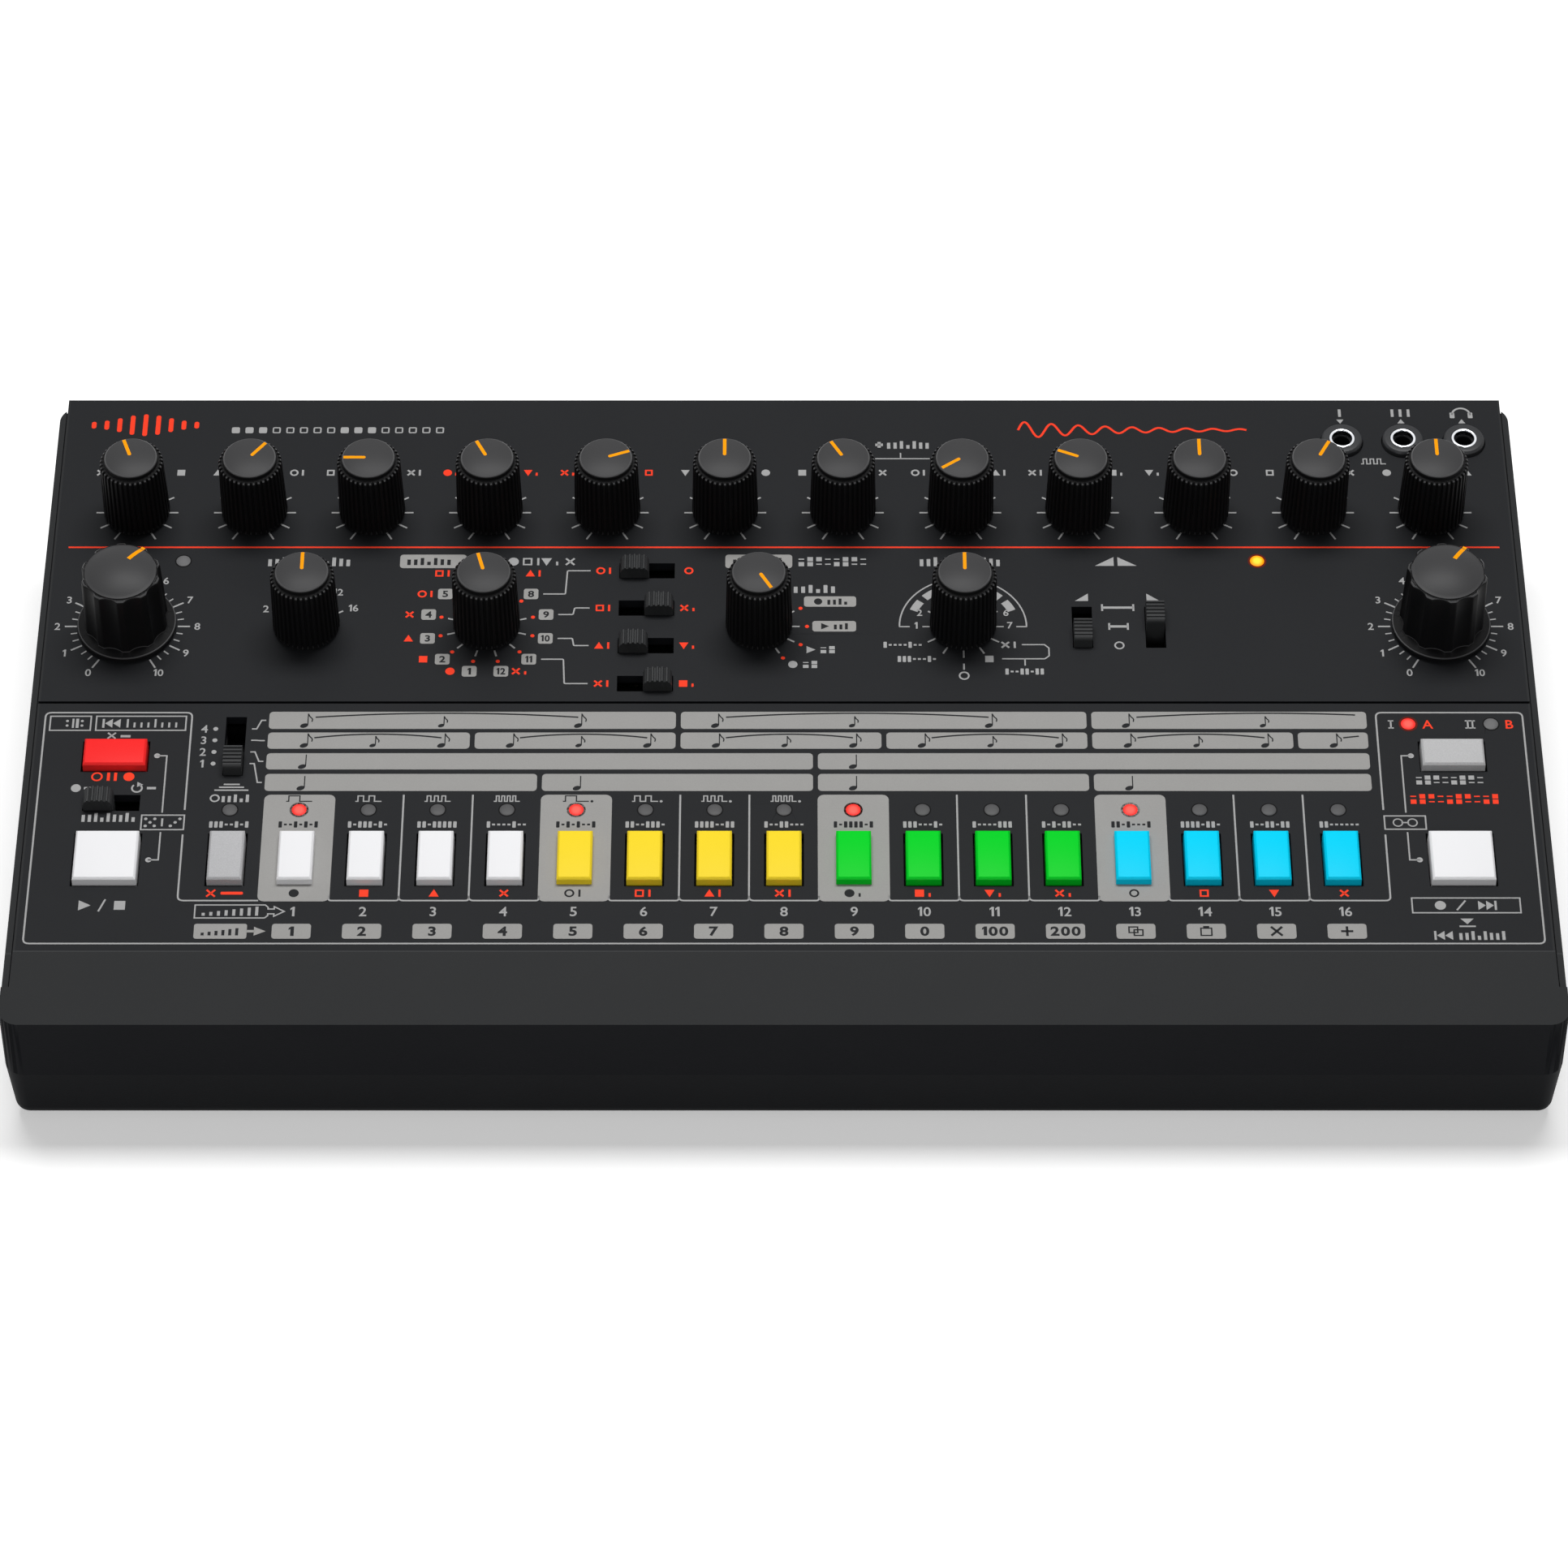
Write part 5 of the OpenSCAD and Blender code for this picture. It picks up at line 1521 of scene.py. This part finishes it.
    def edit_sign(self, which, u, v):
        """Copy, paste, delete and insert as plain signs"""
        ink = self.dark
        if which == 0:
            ink.frame(u - 1.5, v - 0.5, u + 0.5, v + 1.2, 0.3)
            ink.frame(u - 0.5, v - 1.2, u + 1.5, v + 0.5, 0.3)
        elif which == 1:
            ink.frame(u - 1.2, v - 1.2, u + 1.2, v + 0.9, 0.3)
            ink.rect(u - 0.6, v + 0.7, u + 0.6, v + 1.3)
        elif which == 2:
            ink.cross(u - 1.1, v - 1.1, u + 1.1, v + 1.1, 0.5)
        else:
            ink.rect(u - 1.2, v - 0.25, u + 1.2, v + 0.25)
            ink.rect(u - 0.25, v - 1.2, u + 0.25, v + 1.2)

    def voice_sign(self, ink, index, u, v, tall):
        """One of sixteen plain signs, four shapes in four forms, that stand for the voices"""
        shape, form = index % 4, index // 4
        half = tall / 2
        left = u - half * (0.9 if form in (1, 2) else 0)
        if shape == 0:
            if form % 2:
                ink.ring(left, v, half, 0.38)
            else:
                ink.disc(left, v, half)
        elif shape == 1:
            square = (left - half * 0.9, v - half * 0.9, left + half * 0.9, v + half * 0.9)
            if form % 2:
                ink.frame(*square, 0.36)
            else:
                ink.rect(*square)
        elif shape == 2:
            tip = 1 if form < 2 else -1
            ink.shape([(left - half, v - half * tip * 0.85), (left + half, v - half * tip * 0.85),
                       (left, v + half * tip)])
        else:
            ink.cross(left - half * 0.8, v - half * 0.8, left + half * 0.8, v + half * 0.8, 0.42)
        if form in (1, 2):
            bar = u + half * 1.1
            ink.rect(bar - 0.22, v - half * 0.9, bar + 0.22, v + (half * 0.9 if form == 1 else 0))

    def beat_sign(self, ink, index, u, v):
        """Row of eight beats, some struck, that stands for a rhythm"""
        struck = (index * 37 + 149) % 256 | 128
        for beat in range(8):
            place = u + (beat - 3.5) * 1.02
            if struck >> (7 - beat) & 1:
                ink.rect(place - 0.34, v - 0.8, place + 0.34, v + 0.8, 0.15)
            else:
                ink.rect(place - 0.3, v - 0.22, place + 0.3, v + 0.22)

    def clock_sign(self, ink, index, u, v):
        """Square wave with more pulses for each faster clock"""
        pulses = 1 + index % 4
        width = 4.4
        step = width / (2 * pulses)
        points = [(u - width / 2 - 0.5, v - 0.7)]
        for pulse in range(pulses):
            left = u - width / 2 + 2 * pulse * step
            points += [(left, v - 0.7), (left, v + 0.7), (left + step, v + 0.7), (left + step, v - 0.7)]
        points.append((u + width / 2 + 0.3, v - 0.7))
        ink.path(points, 0.26)
        if index >= 4:
            ink.disc(u + width / 2 + 0.9, v - 0.7, 0.3, 12)

    # boxes and links of the side blocks
    box_line = 0.3
    upper_link_v = 68.1
    lower_link_v = 41.36
    mode_box_v = (74.6, 78.6)

    def side_blocks(self):
        """Left and right blocks: boxes, links, transport signs and bank marks"""
        self.key_links()
        self.mode_boxes()
        self.left_signs()
        self.transport_signs()
        self.bank_marks()
        self.function_signs()

    def key_links(self):
        """Links between the two keys of a block, with a boxed sign in the gap of each"""
        grey = self.grey
        for side in (-1, 1):
            end, bend = side * 126.0, side * 123.95
            grey.path([(end, self.upper_link_v), (bend, self.upper_link_v), (bend, 53.4)], self.thin)
            grey.path([(bend, 48.4), (bend, self.lower_link_v), (end, self.lower_link_v)], self.thin)
            for v in (self.upper_link_v, self.lower_link_v):
                grey.disc(end - side * 0.1, v, 0.62, 20)
        grey.frame(-128.1, 48.9, -119.3, 52.9, self.box_line)
        for u in (-126.2, -121.2):
            for du, dv in ((-0.9, -0.9), (0.9, 0.9), (-0.9, 0.9), (0.9, -0.9), (0, 0)):
                if u < -124 or du == dv:
                    grey.disc(u + du, 50.9 + dv, 0.34, 12)
        grey.rect(-124.0, 49.9, -123.6, 51.9)
        grey.frame(119.4, 49.0, 127.9, 52.7, self.box_line)
        for u in (122.2, 125.1):
            grey.ring(u, 50.85, 1.05, 0.26)
        grey.rect(122.9, 50.7, 124.4, 51.0)

    def mode_boxes(self):
        """Two boxes over the clear key: a repeat sign, and a start sign before a row of bars"""
        grey, (low, high) = self.grey, self.mode_box_v
        middle = (low + high) / 2
        grey.frame(-148.2, low, -139.7, high, self.box_line)
        for du in (0, 0.75):
            grey.rect(-143.6 + du, 75.4, -143.2 + du * 1.25, 77.8)
        for dv in (-0.6, 0.6):
            for u in (-144.6, -141.6):
                grey.disc(u, middle + dv, 0.3, 12)
        grey.frame(-138.9, low, -120.5, high, self.box_line)
        self.skip_sign(grey, -135.6, middle, 2.3)
        for bar in range(8):
            grey.rect(-132.6 + bar * 1.4, 75.5, -132.2 + bar * 1.4, 77.7 - (bar % 4 > 0) * 0.9)
        grey.cross(-136.2, 72.6, -134.6, 74.1, 0.36)
        grey.rect(-133.6, 72.9, -131.6, 73.5)

    def left_signs(self):
        """Signs under the clear key and over the start key"""
        grey, red = self.grey, self.red
        red.ring(-137.6, 62.65, 1.15, 0.36)
        for u in (-135.6, -134.2):
            red.rect(u, 61.6, u + 0.6, 63.7)
        red.disc(-131.2, 62.65, 1.1)
        grey.disc(-141.6, 59.7, 1.0)
        grey.rect(-140.0, 59.4, -138.6, 60.0)
        grey.arc(-129.4, 59.7, 1.0, 30, 320, 0.36, 20)
        grey.shape([(-129.4, 61.3), (-128.2, 60.6), (-129.4, 60.0)])
        grey.rect(-127.4, 59.4, -125.6, 60.0)
        self.equaliser(grey, -134.3, 52.2, 11.2, 2.3, 9)

    def transport_signs(self):
        """Start and stop under the start key, and the signs under the write key"""
        grey = self.grey
        self.play_signs(-134.3, 29.9)
        grey.frame(123.5, 27.9, 145.1, 31.9, self.box_line)
        grey.disc(129.2, 29.9, 1.1)
        grey.path([(132.4, 28.7), (134.2, 31.1)], 0.36)
        self.skip_sign(grey, 138.4, 29.9, 2.3, -1)
        grey.shape([(132.9, 26.6), (135.5, 26.6), (134.2, 25.2)])
        grey.rect(132.6, 24.5, 135.8, 24.85)
        self.skip_sign(grey, 129.4, 22.4, 2.2)
        self.equaliser(grey, 137.2, 22.4, 9.6, 2.2, 8)

    def bank_marks(self):
        """Signs under the pattern key, and the banks' letters and strokes over it"""
        self.grid_sign(self.grey, 133.55, 61.8, 14.0, 2.3)
        self.grid_sign(self.red, 134.2, 56.9, 18.2, 2.5)
        for u, body in ((129.8, "A"), (146.3, "B")):
            self.red.words(u, 76.3, body, 2.2)
        for u, strokes in ((122.4, 1), (138.4, 2)):
            self.numeral(self.grey, u, 76.3, strokes, 2.2)

    def function_signs(self):
        """Stack of bars, a ring and a level sign over the function key"""
        grey, u = self.grey, self.function_u
        for row in range(3):
            half, low = 3.4 - row * 0.9, 59.0 + row * 0.75
            grey.rect(u - half, low, u + half, low + 0.35)
        grey.ring(u - 3.2, 57.1, 1.0, 0.34)
        self.equaliser(grey, u + 1.2, 57.1, 6.0, 2.0, 5)

    @staticmethod
    def numeral(ink, u, v, strokes, tall):
        """Roman one or two, with serifs"""
        pitch, serif = 0.95, 0.32
        half = (strokes - 1) * pitch / 2
        for stroke in range(strokes):
            middle = u - half + stroke * pitch
            ink.rect(middle - 0.17, v - tall / 2, middle + 0.17, v + tall / 2)
        for low in (v - tall / 2, v + tall / 2 - serif):
            ink.rect(u - half - 0.55, low, u + half + 0.55, low + serif)

    def skip_sign(self, ink, u, v, tall, way=1):
        """Bar and two triangles: back to the start, or on to the next with way -1"""
        half = tall / 2
        ink.rect(u - way * 1.9, v - half, u - way * 1.45, v + half)
        for shift in (-1.35, 0.25):
            ink.shape([(u + way * shift, v), (u + way * (shift + 1.5), v + half),
                       (u + way * (shift + 1.5), v - half)][::way])

    def play_signs(self, u, v):
        """Start and stop"""
        self.grey.shape([(u - 4.6, v - 1.25), (u - 2.2, v), (u - 4.6, v + 1.25)])
        self.grey.path([(u - 0.6, v - 1.5), (u + 0.6, v + 1.5)], 0.36)
        self.grey.rect(u + 2.4, v - 1.1, u + 4.6, v + 1.1)

    def equaliser(self, ink, u, v, wide, tall, count):
        """Row of bars of uneven height on one line"""
        pitch = wide / count
        for bar in range(count):
            share = 0.45 + 0.55 * abs(sin(bar * 1.9 + 0.6))
            left = u - wide / 2 + bar * pitch
            ink.rect(left, v - tall / 2, left + pitch * 0.52, v - tall / 2 + tall * share)

    def grid_sign(self, ink, u, v, wide, tall):
        """Two rows of steps, some filled"""
        count = round(wide / 1.75)
        for row in (0, 1):
            for cell in range(count):
                left = u - wide / 2 + cell * wide / count
                low = v - tall / 2 + row * tall * 0.55
                if (cell * 5 + row * 3) % 4 < 2:
                    ink.rect(left, low, left + 1.15, low + tall * 0.45)
                else:
                    ink.rect(left, low + tall * 0.16, left + 1.15, low + tall * 0.28)

    def scale_links(self):
        """Numbers and links beside the four-way lever"""
        places = (75.12, 72.14, 69.1, 66.06)
        for number, v in zip((4, 3, 2, 1), places):
            self.grey.words(-116.8, v, str(number), 2.0)
            self.grey.disc(-114.55, v, 0.5, 20)
        for v, (low, high, _) in zip(places, self.bar_rows):
            middle = (low + high) / 2
            self.grey.path([(-107.25, v), (-106.3, v), (-105.4, middle), (-104.5, middle)], self.thin)

    # a dial runs this far either way from straight up, with a mark at each step
    dial_half = 150
    dial_step = 30
    # middle of the row of titles over the selectors
    title_v = 120.05

    def level_dials(self):
        for body in LEVEL_KNOBS:
            u, v = axis_place(body)
            for angle in range(-self.dial_half, self.dial_half + 1, self.dial_step):
                self.grey.tick(u, v, angle, 6.4, 8.5, self.fine)

    def large_dials(self):
        for body in LARGE_KNOBS:
            u, v = axis_place(body)
            for index in range(11):
                angle = self.dial_step * index - self.dial_half
                self.grey.tick(u, v, angle, 10.3, 12.8, self.line)
                self.grey.words(*self.round_place(u, v, angle, 14.3), str(index), 1.85)
                if index < 10:
                    for part in (10, 20):
                        self.grey.tick(u, v, angle + part, 10.3, 11.6, self.fine * 0.8)

    def selector_dials(self):
        self.variation_dial(*axis_place("variation_selector"))
        self.instrument_dial(*axis_place("instrument_selector"))
        self.mode_dial(*axis_place("mode_selector"))
        self.rhythm_dial(*axis_place("rhythm_selector"))
        self.lever_labels()

    @staticmethod
    def round_place(u, v, angle, radius):
        return u + radius * sin(radians(angle)), v + radius * cos(radians(angle))

    def variation_dial(self, u, v):
        for angle in (-60, -30, 0, 30, 60):
            self.grey.tick(u, v, angle, 6.9, 8.4, self.fine)
        numbers = ((2, -61, 9.8), (4, -30, 10.4), (8, 2, 10.2), (12, 33, 11.1), (16, 62, 10.6))
        for number, angle, radius in numbers:
            self.grey.words(*self.round_place(u, v, angle, radius), str(number), 1.85)
        self.equaliser(self.grey, u, self.title_v, 17.6, 2.5, 12)

    box_circle = 12.45

    def instrument_dial(self, u, v):
        """Twelve boxed numbers, voice signs beside some of them, and links to the voice levers"""
        for index in range(12):
            angle = self.dial_step * index - 165
            self.grey.tick(u, v, angle, 6.7, 8.3, self.fine)
            self.red.disc(*self.round_place(u, v, angle, 9.7), 0.42, 16)
            bu, bv = self.round_place(u, v, angle, self.box_circle)
            self.field.rect(bu - 1.5, bv - 1.42, bu + 1.5, bv + 1.42, 0.5)
            self.dark.words(bu, bv, str(index + 1), 1.75, 0.03, 0.92 if index > 8 else 1.1)
            if index in (0, 1, 2, 3, 4, 11):
                way = 1 if index == 11 else -1
                self.voice_sign(self.red, index, bu + way * 3.9, bv, 1.9)
        for index, angle in ((5, -33), (6, 33)):
            self.voice_sign(self.red, index, *self.round_place(u, v, angle, 17.2), 1.9)
        for body, angle, mid in zip(VOICE_LEVERS, (45, 75, 105, 135), (-44.75, -43.05, -43.05, -44.75)):
            lever_v = self.lever_row(body)
            bu, bv = self.round_place(u, v, angle, self.box_circle)
            self.grey.path([(bu + 2.5, bv), (mid - 0.15, bv), (mid + 0.15, lever_v), (-39.85, lever_v)],
                           self.thin, 0.3)
        self.field.rect(-79.2, 118.28, -65.5, 121.97, 0.7)
        self.equaliser(self.dark, -72.9, 120.1, 9.6, 2.0, 7)
        for slot in range(4):
            self.voice_sign(self.grey, slot * 5, -55.8 + slot * 3.9, self.title_v, 2.2)

    @staticmethod
    def lever_row(body):
        return centre_of(*panel_extent(body, GRIP_ABOVE))[1]

    def mode_dial(self, u, v):
        for angle in (60, 90, 120, 150):
            self.grey.tick(u, v, angle, 6.7, 8.3, self.fine)
            self.red.disc(*self.round_place(u, v, angle, 9.8), 0.42, 16)
        self.field.rect(4.1, 107.75, 14.8, 110.55, 0.6)
        self.dark.disc(7.0, 109.15, 0.85)
        self.equaliser(self.dark, 11.2, 109.15, 4.6, 1.7, 4)
        self.field.rect(5.8, 101.03, 14.75, 103.87, 0.6)
        self.dark.shape([(7.6, 101.6), (9.2, 102.45), (7.6, 103.3)])
        self.equaliser(self.dark, 11.9, 102.45, 3.4, 1.7, 3)
        self.grey.shape([(4.6, 95.2), (6.4, 96.15), (4.6, 97.1)])
        self.grid_sign(self.grey, 9.2, 96.15, 3.5, 1.9)
        self.grey.disc(1.8, 92.2, 0.95)
        self.grid_sign(self.grey, 5.6, 92.2, 3.5, 1.9)
        self.equaliser(self.grey, 6.6, 112.6, 9.2, 2.2, 6)
        self.field.rect(-12.1, 118.28, 1.7, 121.97, 0.7)
        self.equaliser(self.dark, -5.2, 120.1, 10.6, 2.0, 8)
        self.grid_sign(self.grey, 10.3, self.title_v, 14.6, 2.5)

    def rhythm_dial(self, u, v):
        base = v - 0.05
        self.grey.arc(u, v, 13.0, -90, 90, self.thin)
        for side in (-1, 1):
            for outer, inner in ((13.1, 10.9), (8.3, 6.8)):
                self.grey.path([(u + side * outer, base), (u + side * inner, base)], self.thin)
            for start, end in ((52, 67), (30, 45), (8, 22)):
                self.grey.arc(u, v, 10.9, side * start, side * end, 1.7, 8)
            for angle in (120, 150):
                self.grey.tick(u, v, side * angle, 6.5, 8.4, self.fine)
            for angle in (30, 60):
                self.grey.tick(u, v, side * angle, 6.9, 8.2, self.fine)
        for number, angle in zip((1, 2, 6, 7), (-90, -60, 60, 90)):
            self.grey.words(*self.round_place(u, v, angle * (0.98 if abs(angle) > 60 else 1.12), 9.6),
                            str(number), 1.75)
        self.grey.tick(u, v, 180, 6.5, 8.4, self.fine)
        self.grey.tick(u, v, 180, 10.0, 11.6, self.fine)
        self.grey.ring(u, v - 13.2, 1.1, 0.34)
        self.beat_sign(self.grey, 3, u - 12.4, v - 4.95)
        self.beat_sign(self.grey, 9, u - 9.55, v - 8.75)
        self.voice_sign(self.grey, 7, u + 9.4, v - 4.95, 1.9)
        self.voice_sign(self.grey, 1, u + 5.2, v - 8.75, 1.9)
        self.beat_sign(self.grey, 14, u + 12.3, v - 12.1)
        self.grey.path([(48.5, 97.5), (53.1, 97.5), (54.0, 96.6), (54.0, 94.5), (53.1, 93.7), (44.4, 93.7)],
                       self.link)
        self.grey.path([(49.05, 93.7), (49.05, 91.9)], self.link)
        self.equaliser(self.grey, u, self.title_v, 17.2, 2.5, 12)

    def lever_labels(self):
        for row, body in enumerate(VOICE_LEVERS):
            v = self.lever_row(body)
            self.voice_sign(self.red, 4 + row, -36.9, v, 1.9)
            self.voice_sign(self.red, 12 - row, -19.6, v, 1.9)
        fade_u, fade_v = 68.4, 102.4
        self.grey.shape([(59.7, 109.3), (62.4, 109.3), (62.4, 111.3)])
        self.grey.shape([(74.4, 109.3), (77.1, 109.3), (74.4, 111.3)])
        for row, long in ((5.1, 3.2), (0, 1.9)):
            self.grey.rect(fade_u - long, fade_v + row - 0.3, fade_u + long, fade_v + row + 0.3)
            for side in (-1, 1):
                self.grey.rect(fade_u + side * long - 0.2, fade_v + row - 0.9,
                               fade_u + side * long + 0.2, fade_v + row + 0.9)
        self.grey.ring(fade_u, fade_v - 5.1, 1.05, 0.34)
        self.grey.shape([(64.1, 118.9), (68.0, 118.9), (68.0, 121.3)])
        self.grey.shape([(68.8, 118.9), (72.7, 118.9), (68.8, 121.3)])

    def upper_titles(self):
        """Signs in the place of titles, the red line and the signs at the panel sockets"""
        self.red.rect(-147.9, 123.8, 147.9, 124.2)
        for bar in range(9):
            tall = 1.6 + 4.6 * exp(-((bar - 4) / 2.4) ** 2)
            u = -145.6 + bar * 2.7
            self.red.rect(u, 158.3 - tall / 2, u + 1.0, 158.3 + tall / 2, 0.45)
        for step in range(16):
            u = -115.2 + step * 2.86
            cell = (u - 0.85, 156.0, u + 0.85, 157.7)
            if (step * 3) % 8 in (0, 3, 6):
                self.grey.rect(*cell, 0.35)
            else:
                self.grey.frame(*cell, 0.3, 0.35)
        self.fading_wave(49.2, 156.9, 48.0, 2.4)
        self.socket_signs()
        self.grey.path([(19.1, 148.77), (30.5, 148.77)], self.link)
        self.grey.path([(24.4, 148.77), (24.4, 150.4)], self.link)
        self.grey.rect(19.6, 151.9, 20.3, 153.5)
        self.grey.rect(19.15, 152.35, 20.75, 153.05)
        self.equaliser(self.grey, 26.3, 152.7, 9.4, 2.2, 7)
        for index, body in enumerate(LEVEL_KNOBS):
            u = axis_place(body)[0]
            ink = self.red if index in (3, 4) else self.grey
            for side in (-1, 1):
                self.voice_sign(ink, (index * 3 + side) % 16, u + side * 8.4, 144.8, 1.8)

    def fading_wave(self, u, v, wide, swing, steps=240, turns=8.5):
        """Wave that dies away to the right"""
        shares = [step / steps for step in range(steps + 1)]
        self.red.path([(u + wide * share, v + swing * exp(-2.2 * share) * sin(share * tau * turns))
                       for share in shares], 0.5)

    def socket_signs(self):
        """An arrow over each panel socket, and one bar, three bars or an arch over that"""
        places = [panel_place(mount(name)["pos_m"])[0] for name in TOP_SOCKETS]
        base = 159.35
        for u, way in zip(places, (-1, 1, 1)):
            foot, tip = base - way * 0.55, base + way * 0.65
            self.grey.shape([(u - 0.75, foot), (u, tip), (u + 0.75, foot)][::way])
        for u, count in zip(places, (1, 3)):
            for bar in range(count):
                centre = u + (bar - (count - 1) / 2) * 1.7
                self.grey.rect(centre - 0.3, 160.7, centre + 0.3, 162.8)
        arch_r = 1.9
        self.grey.arc(places[2], 161.2, arch_r, -90, 90, 0.42, 20)
        for side in (-1, 1):
            centre = places[2] + side * arch_r
            self.grey.rect(centre - 0.5, 160.3, centre + 0.5, 161.9, 0.2)
        self.clock_sign(self.grey, 2, (places[0] + places[1]) / 2, 148.0)


# ---------------------------------------------------------------- stage


class DRUM_OT_stage(bpy.types.Operator):
    """Pale floor, soft lamps, sky and camera"""
    bl_idname = "drum.stage"
    bl_label = "Stage"

    # spans and places of the lamps in metres, and the point at which both aim
    overhead = ((0.9, 0.35), (0.0, 0.31, 1.16))
    front = ((1.4, 0.6), (0.0, -1.5, 0.8))
    aim = (0, 0, 0.03)
    # tone of the floor as a background and as it lights the object, and its glow as a background
    floor_seen = 0.9
    floor_lit = 0.35
    floor_glow = 0.39

    def execute(self, context):
        stage = context.scene.drum_stage
        self.floor()
        self.sky(context, stage)
        self.lamp("overhead_lamp", stage.key_light, *self.overhead)
        self.lamp("front_lamp", stage.fill_light, *self.front)
        camera = bpy.data.objects.new("camera", bpy.data.cameras.new("camera"))
        context.scene.collection.objects.link(camera)
        camera.location = (0, cad_box[0].y - stage.distance, stage.height)
        camera.rotation_euler = (pi / 2 - stage.pitch, 0, 0)
        camera.data.sensor_width = 36
        camera.data.lens = stage.lens
        camera.data.clip_start = 0.05
        camera.data.clip_end = 20
        context.scene.camera = camera
        context.scene.view_settings.view_transform = "Standard"
        return {"FINISHED"}

    def lamp(self, name, power, spans, place):
        data = bpy.data.lights.new(name, "AREA")
        data.energy = power
        data.shape = "RECTANGLE"
        data.size, data.size_y = spans
        holder = bpy.data.objects.new(name, data)
        bpy.context.scene.collection.objects.link(holder)
        holder.location = place
        holder.rotation_euler = (Vector(self.aim) - Vector(place)).to_track_quat("-Z", "Y").to_euler()

    @staticmethod
    def seen(tree):
        """1 for rays that see the background itself: camera, glossy and transmission"""
        path = tree.add("LightPath").outputs
        first = tree.maths("MAXIMUM", path["Is Camera Ray"], path["Is Glossy Ray"])
        return tree.maths("MAXIMUM", first, path["Is Transmission Ray"])

    def floor(self):
        bm = bmesh.new()
        bmesh.ops.create_grid(bm, x_segments=1, y_segments=1, size=4)
        mesh = bpy.data.meshes.new("floor")
        bm.to_mesh(mesh)
        bm.free()
        floor = bpy.data.objects.new("floor", mesh)
        bpy.context.scene.collection.objects.link(floor)
        finish = Finish("Pale floor", {"Specular IOR Level": 0.0, "Roughness": 1.0,
                                       "Emission Color": (1, 1, 1, 1)})
        seen = self.seen(finish)
        tone = finish.mix(seen, rgba([self.floor_lit] * 3), rgba([self.floor_seen] * 3))
        finish.feed("Base Color", finish.clouded(tone, 0.02, 3.0))
        finish.feed("Emission Strength", finish.maths("MULTIPLY", seen, self.floor_glow))
        floor.data.materials.append(finish.material)

    def sky(self, context, stage):
        world = bpy.data.worlds.new("Studio")
        world.use_nodes = True
        world.node_tree.nodes.clear()
        tree = Tree(world.node_tree)
        level = tree.add("MapRange", {"Value": self.seen(tree), "To Min": stage.sky, "To Max": 1.0})
        light = tree.add("Background", {"Color": (1, 1, 1, 1), "Strength": level.outputs["Result"]})
        tree.add("OutputWorld", {"Surface": light.outputs[0]})
        context.scene.world = world


# ---------------------------------------------------------------- panel, registration and run


class DRUM_PT_panel(bpy.types.Panel):
    """Everything that makes up the looks"""
    bl_idname = "DRUM_PT_panel"
    bl_label = "Drum Machine"
    bl_space_type = "VIEW_3D"
    bl_region_type = "UI"
    bl_category = "Drum Machine"

    def draw(self, context):
        for maker in MAKERS:
            self.layout.operator(maker.bl_idname)
        for group in (context.scene.drum_colours, context.scene.drum_sizes, context.scene.drum_stage):
            box = self.layout.box()
            for name in group.__annotations__:
                box.prop(group, name)


SETTINGS = {"drum_colours": DrumColours, "drum_sizes": DrumSizes, "drum_stage": DrumStage}
MAKERS = (DRUM_OT_case, DRUM_OT_inner_parts, DRUM_OT_small_knobs, DRUM_OT_large_knobs, DRUM_OT_keys,
          DRUM_OT_levers, DRUM_OT_lamps, DRUM_OT_top_sockets, DRUM_OT_rear_sockets, DRUM_OT_print,
          DRUM_OT_stage)


def register():
    for kind in (*SETTINGS.values(), *MAKERS, DRUM_PT_panel):
        bpy.utils.register_class(kind)
    for name, kind in SETTINGS.items():
        setattr(bpy.types.Scene, name, PointerProperty(type=kind))


def unregister():
    for name in SETTINGS:
        delattr(bpy.types.Scene, name)
    for kind in (DRUM_PT_panel, *MAKERS[::-1], *SETTINGS.values()):
        bpy.utils.unregister_class(kind)


def main():
    register()
    build_effects()
    for maker in MAKERS:
        family, verb = maker.bl_idname.split(".")
        getattr(getattr(bpy.ops, family), verb)()


if __name__ == "__main__":
    main()
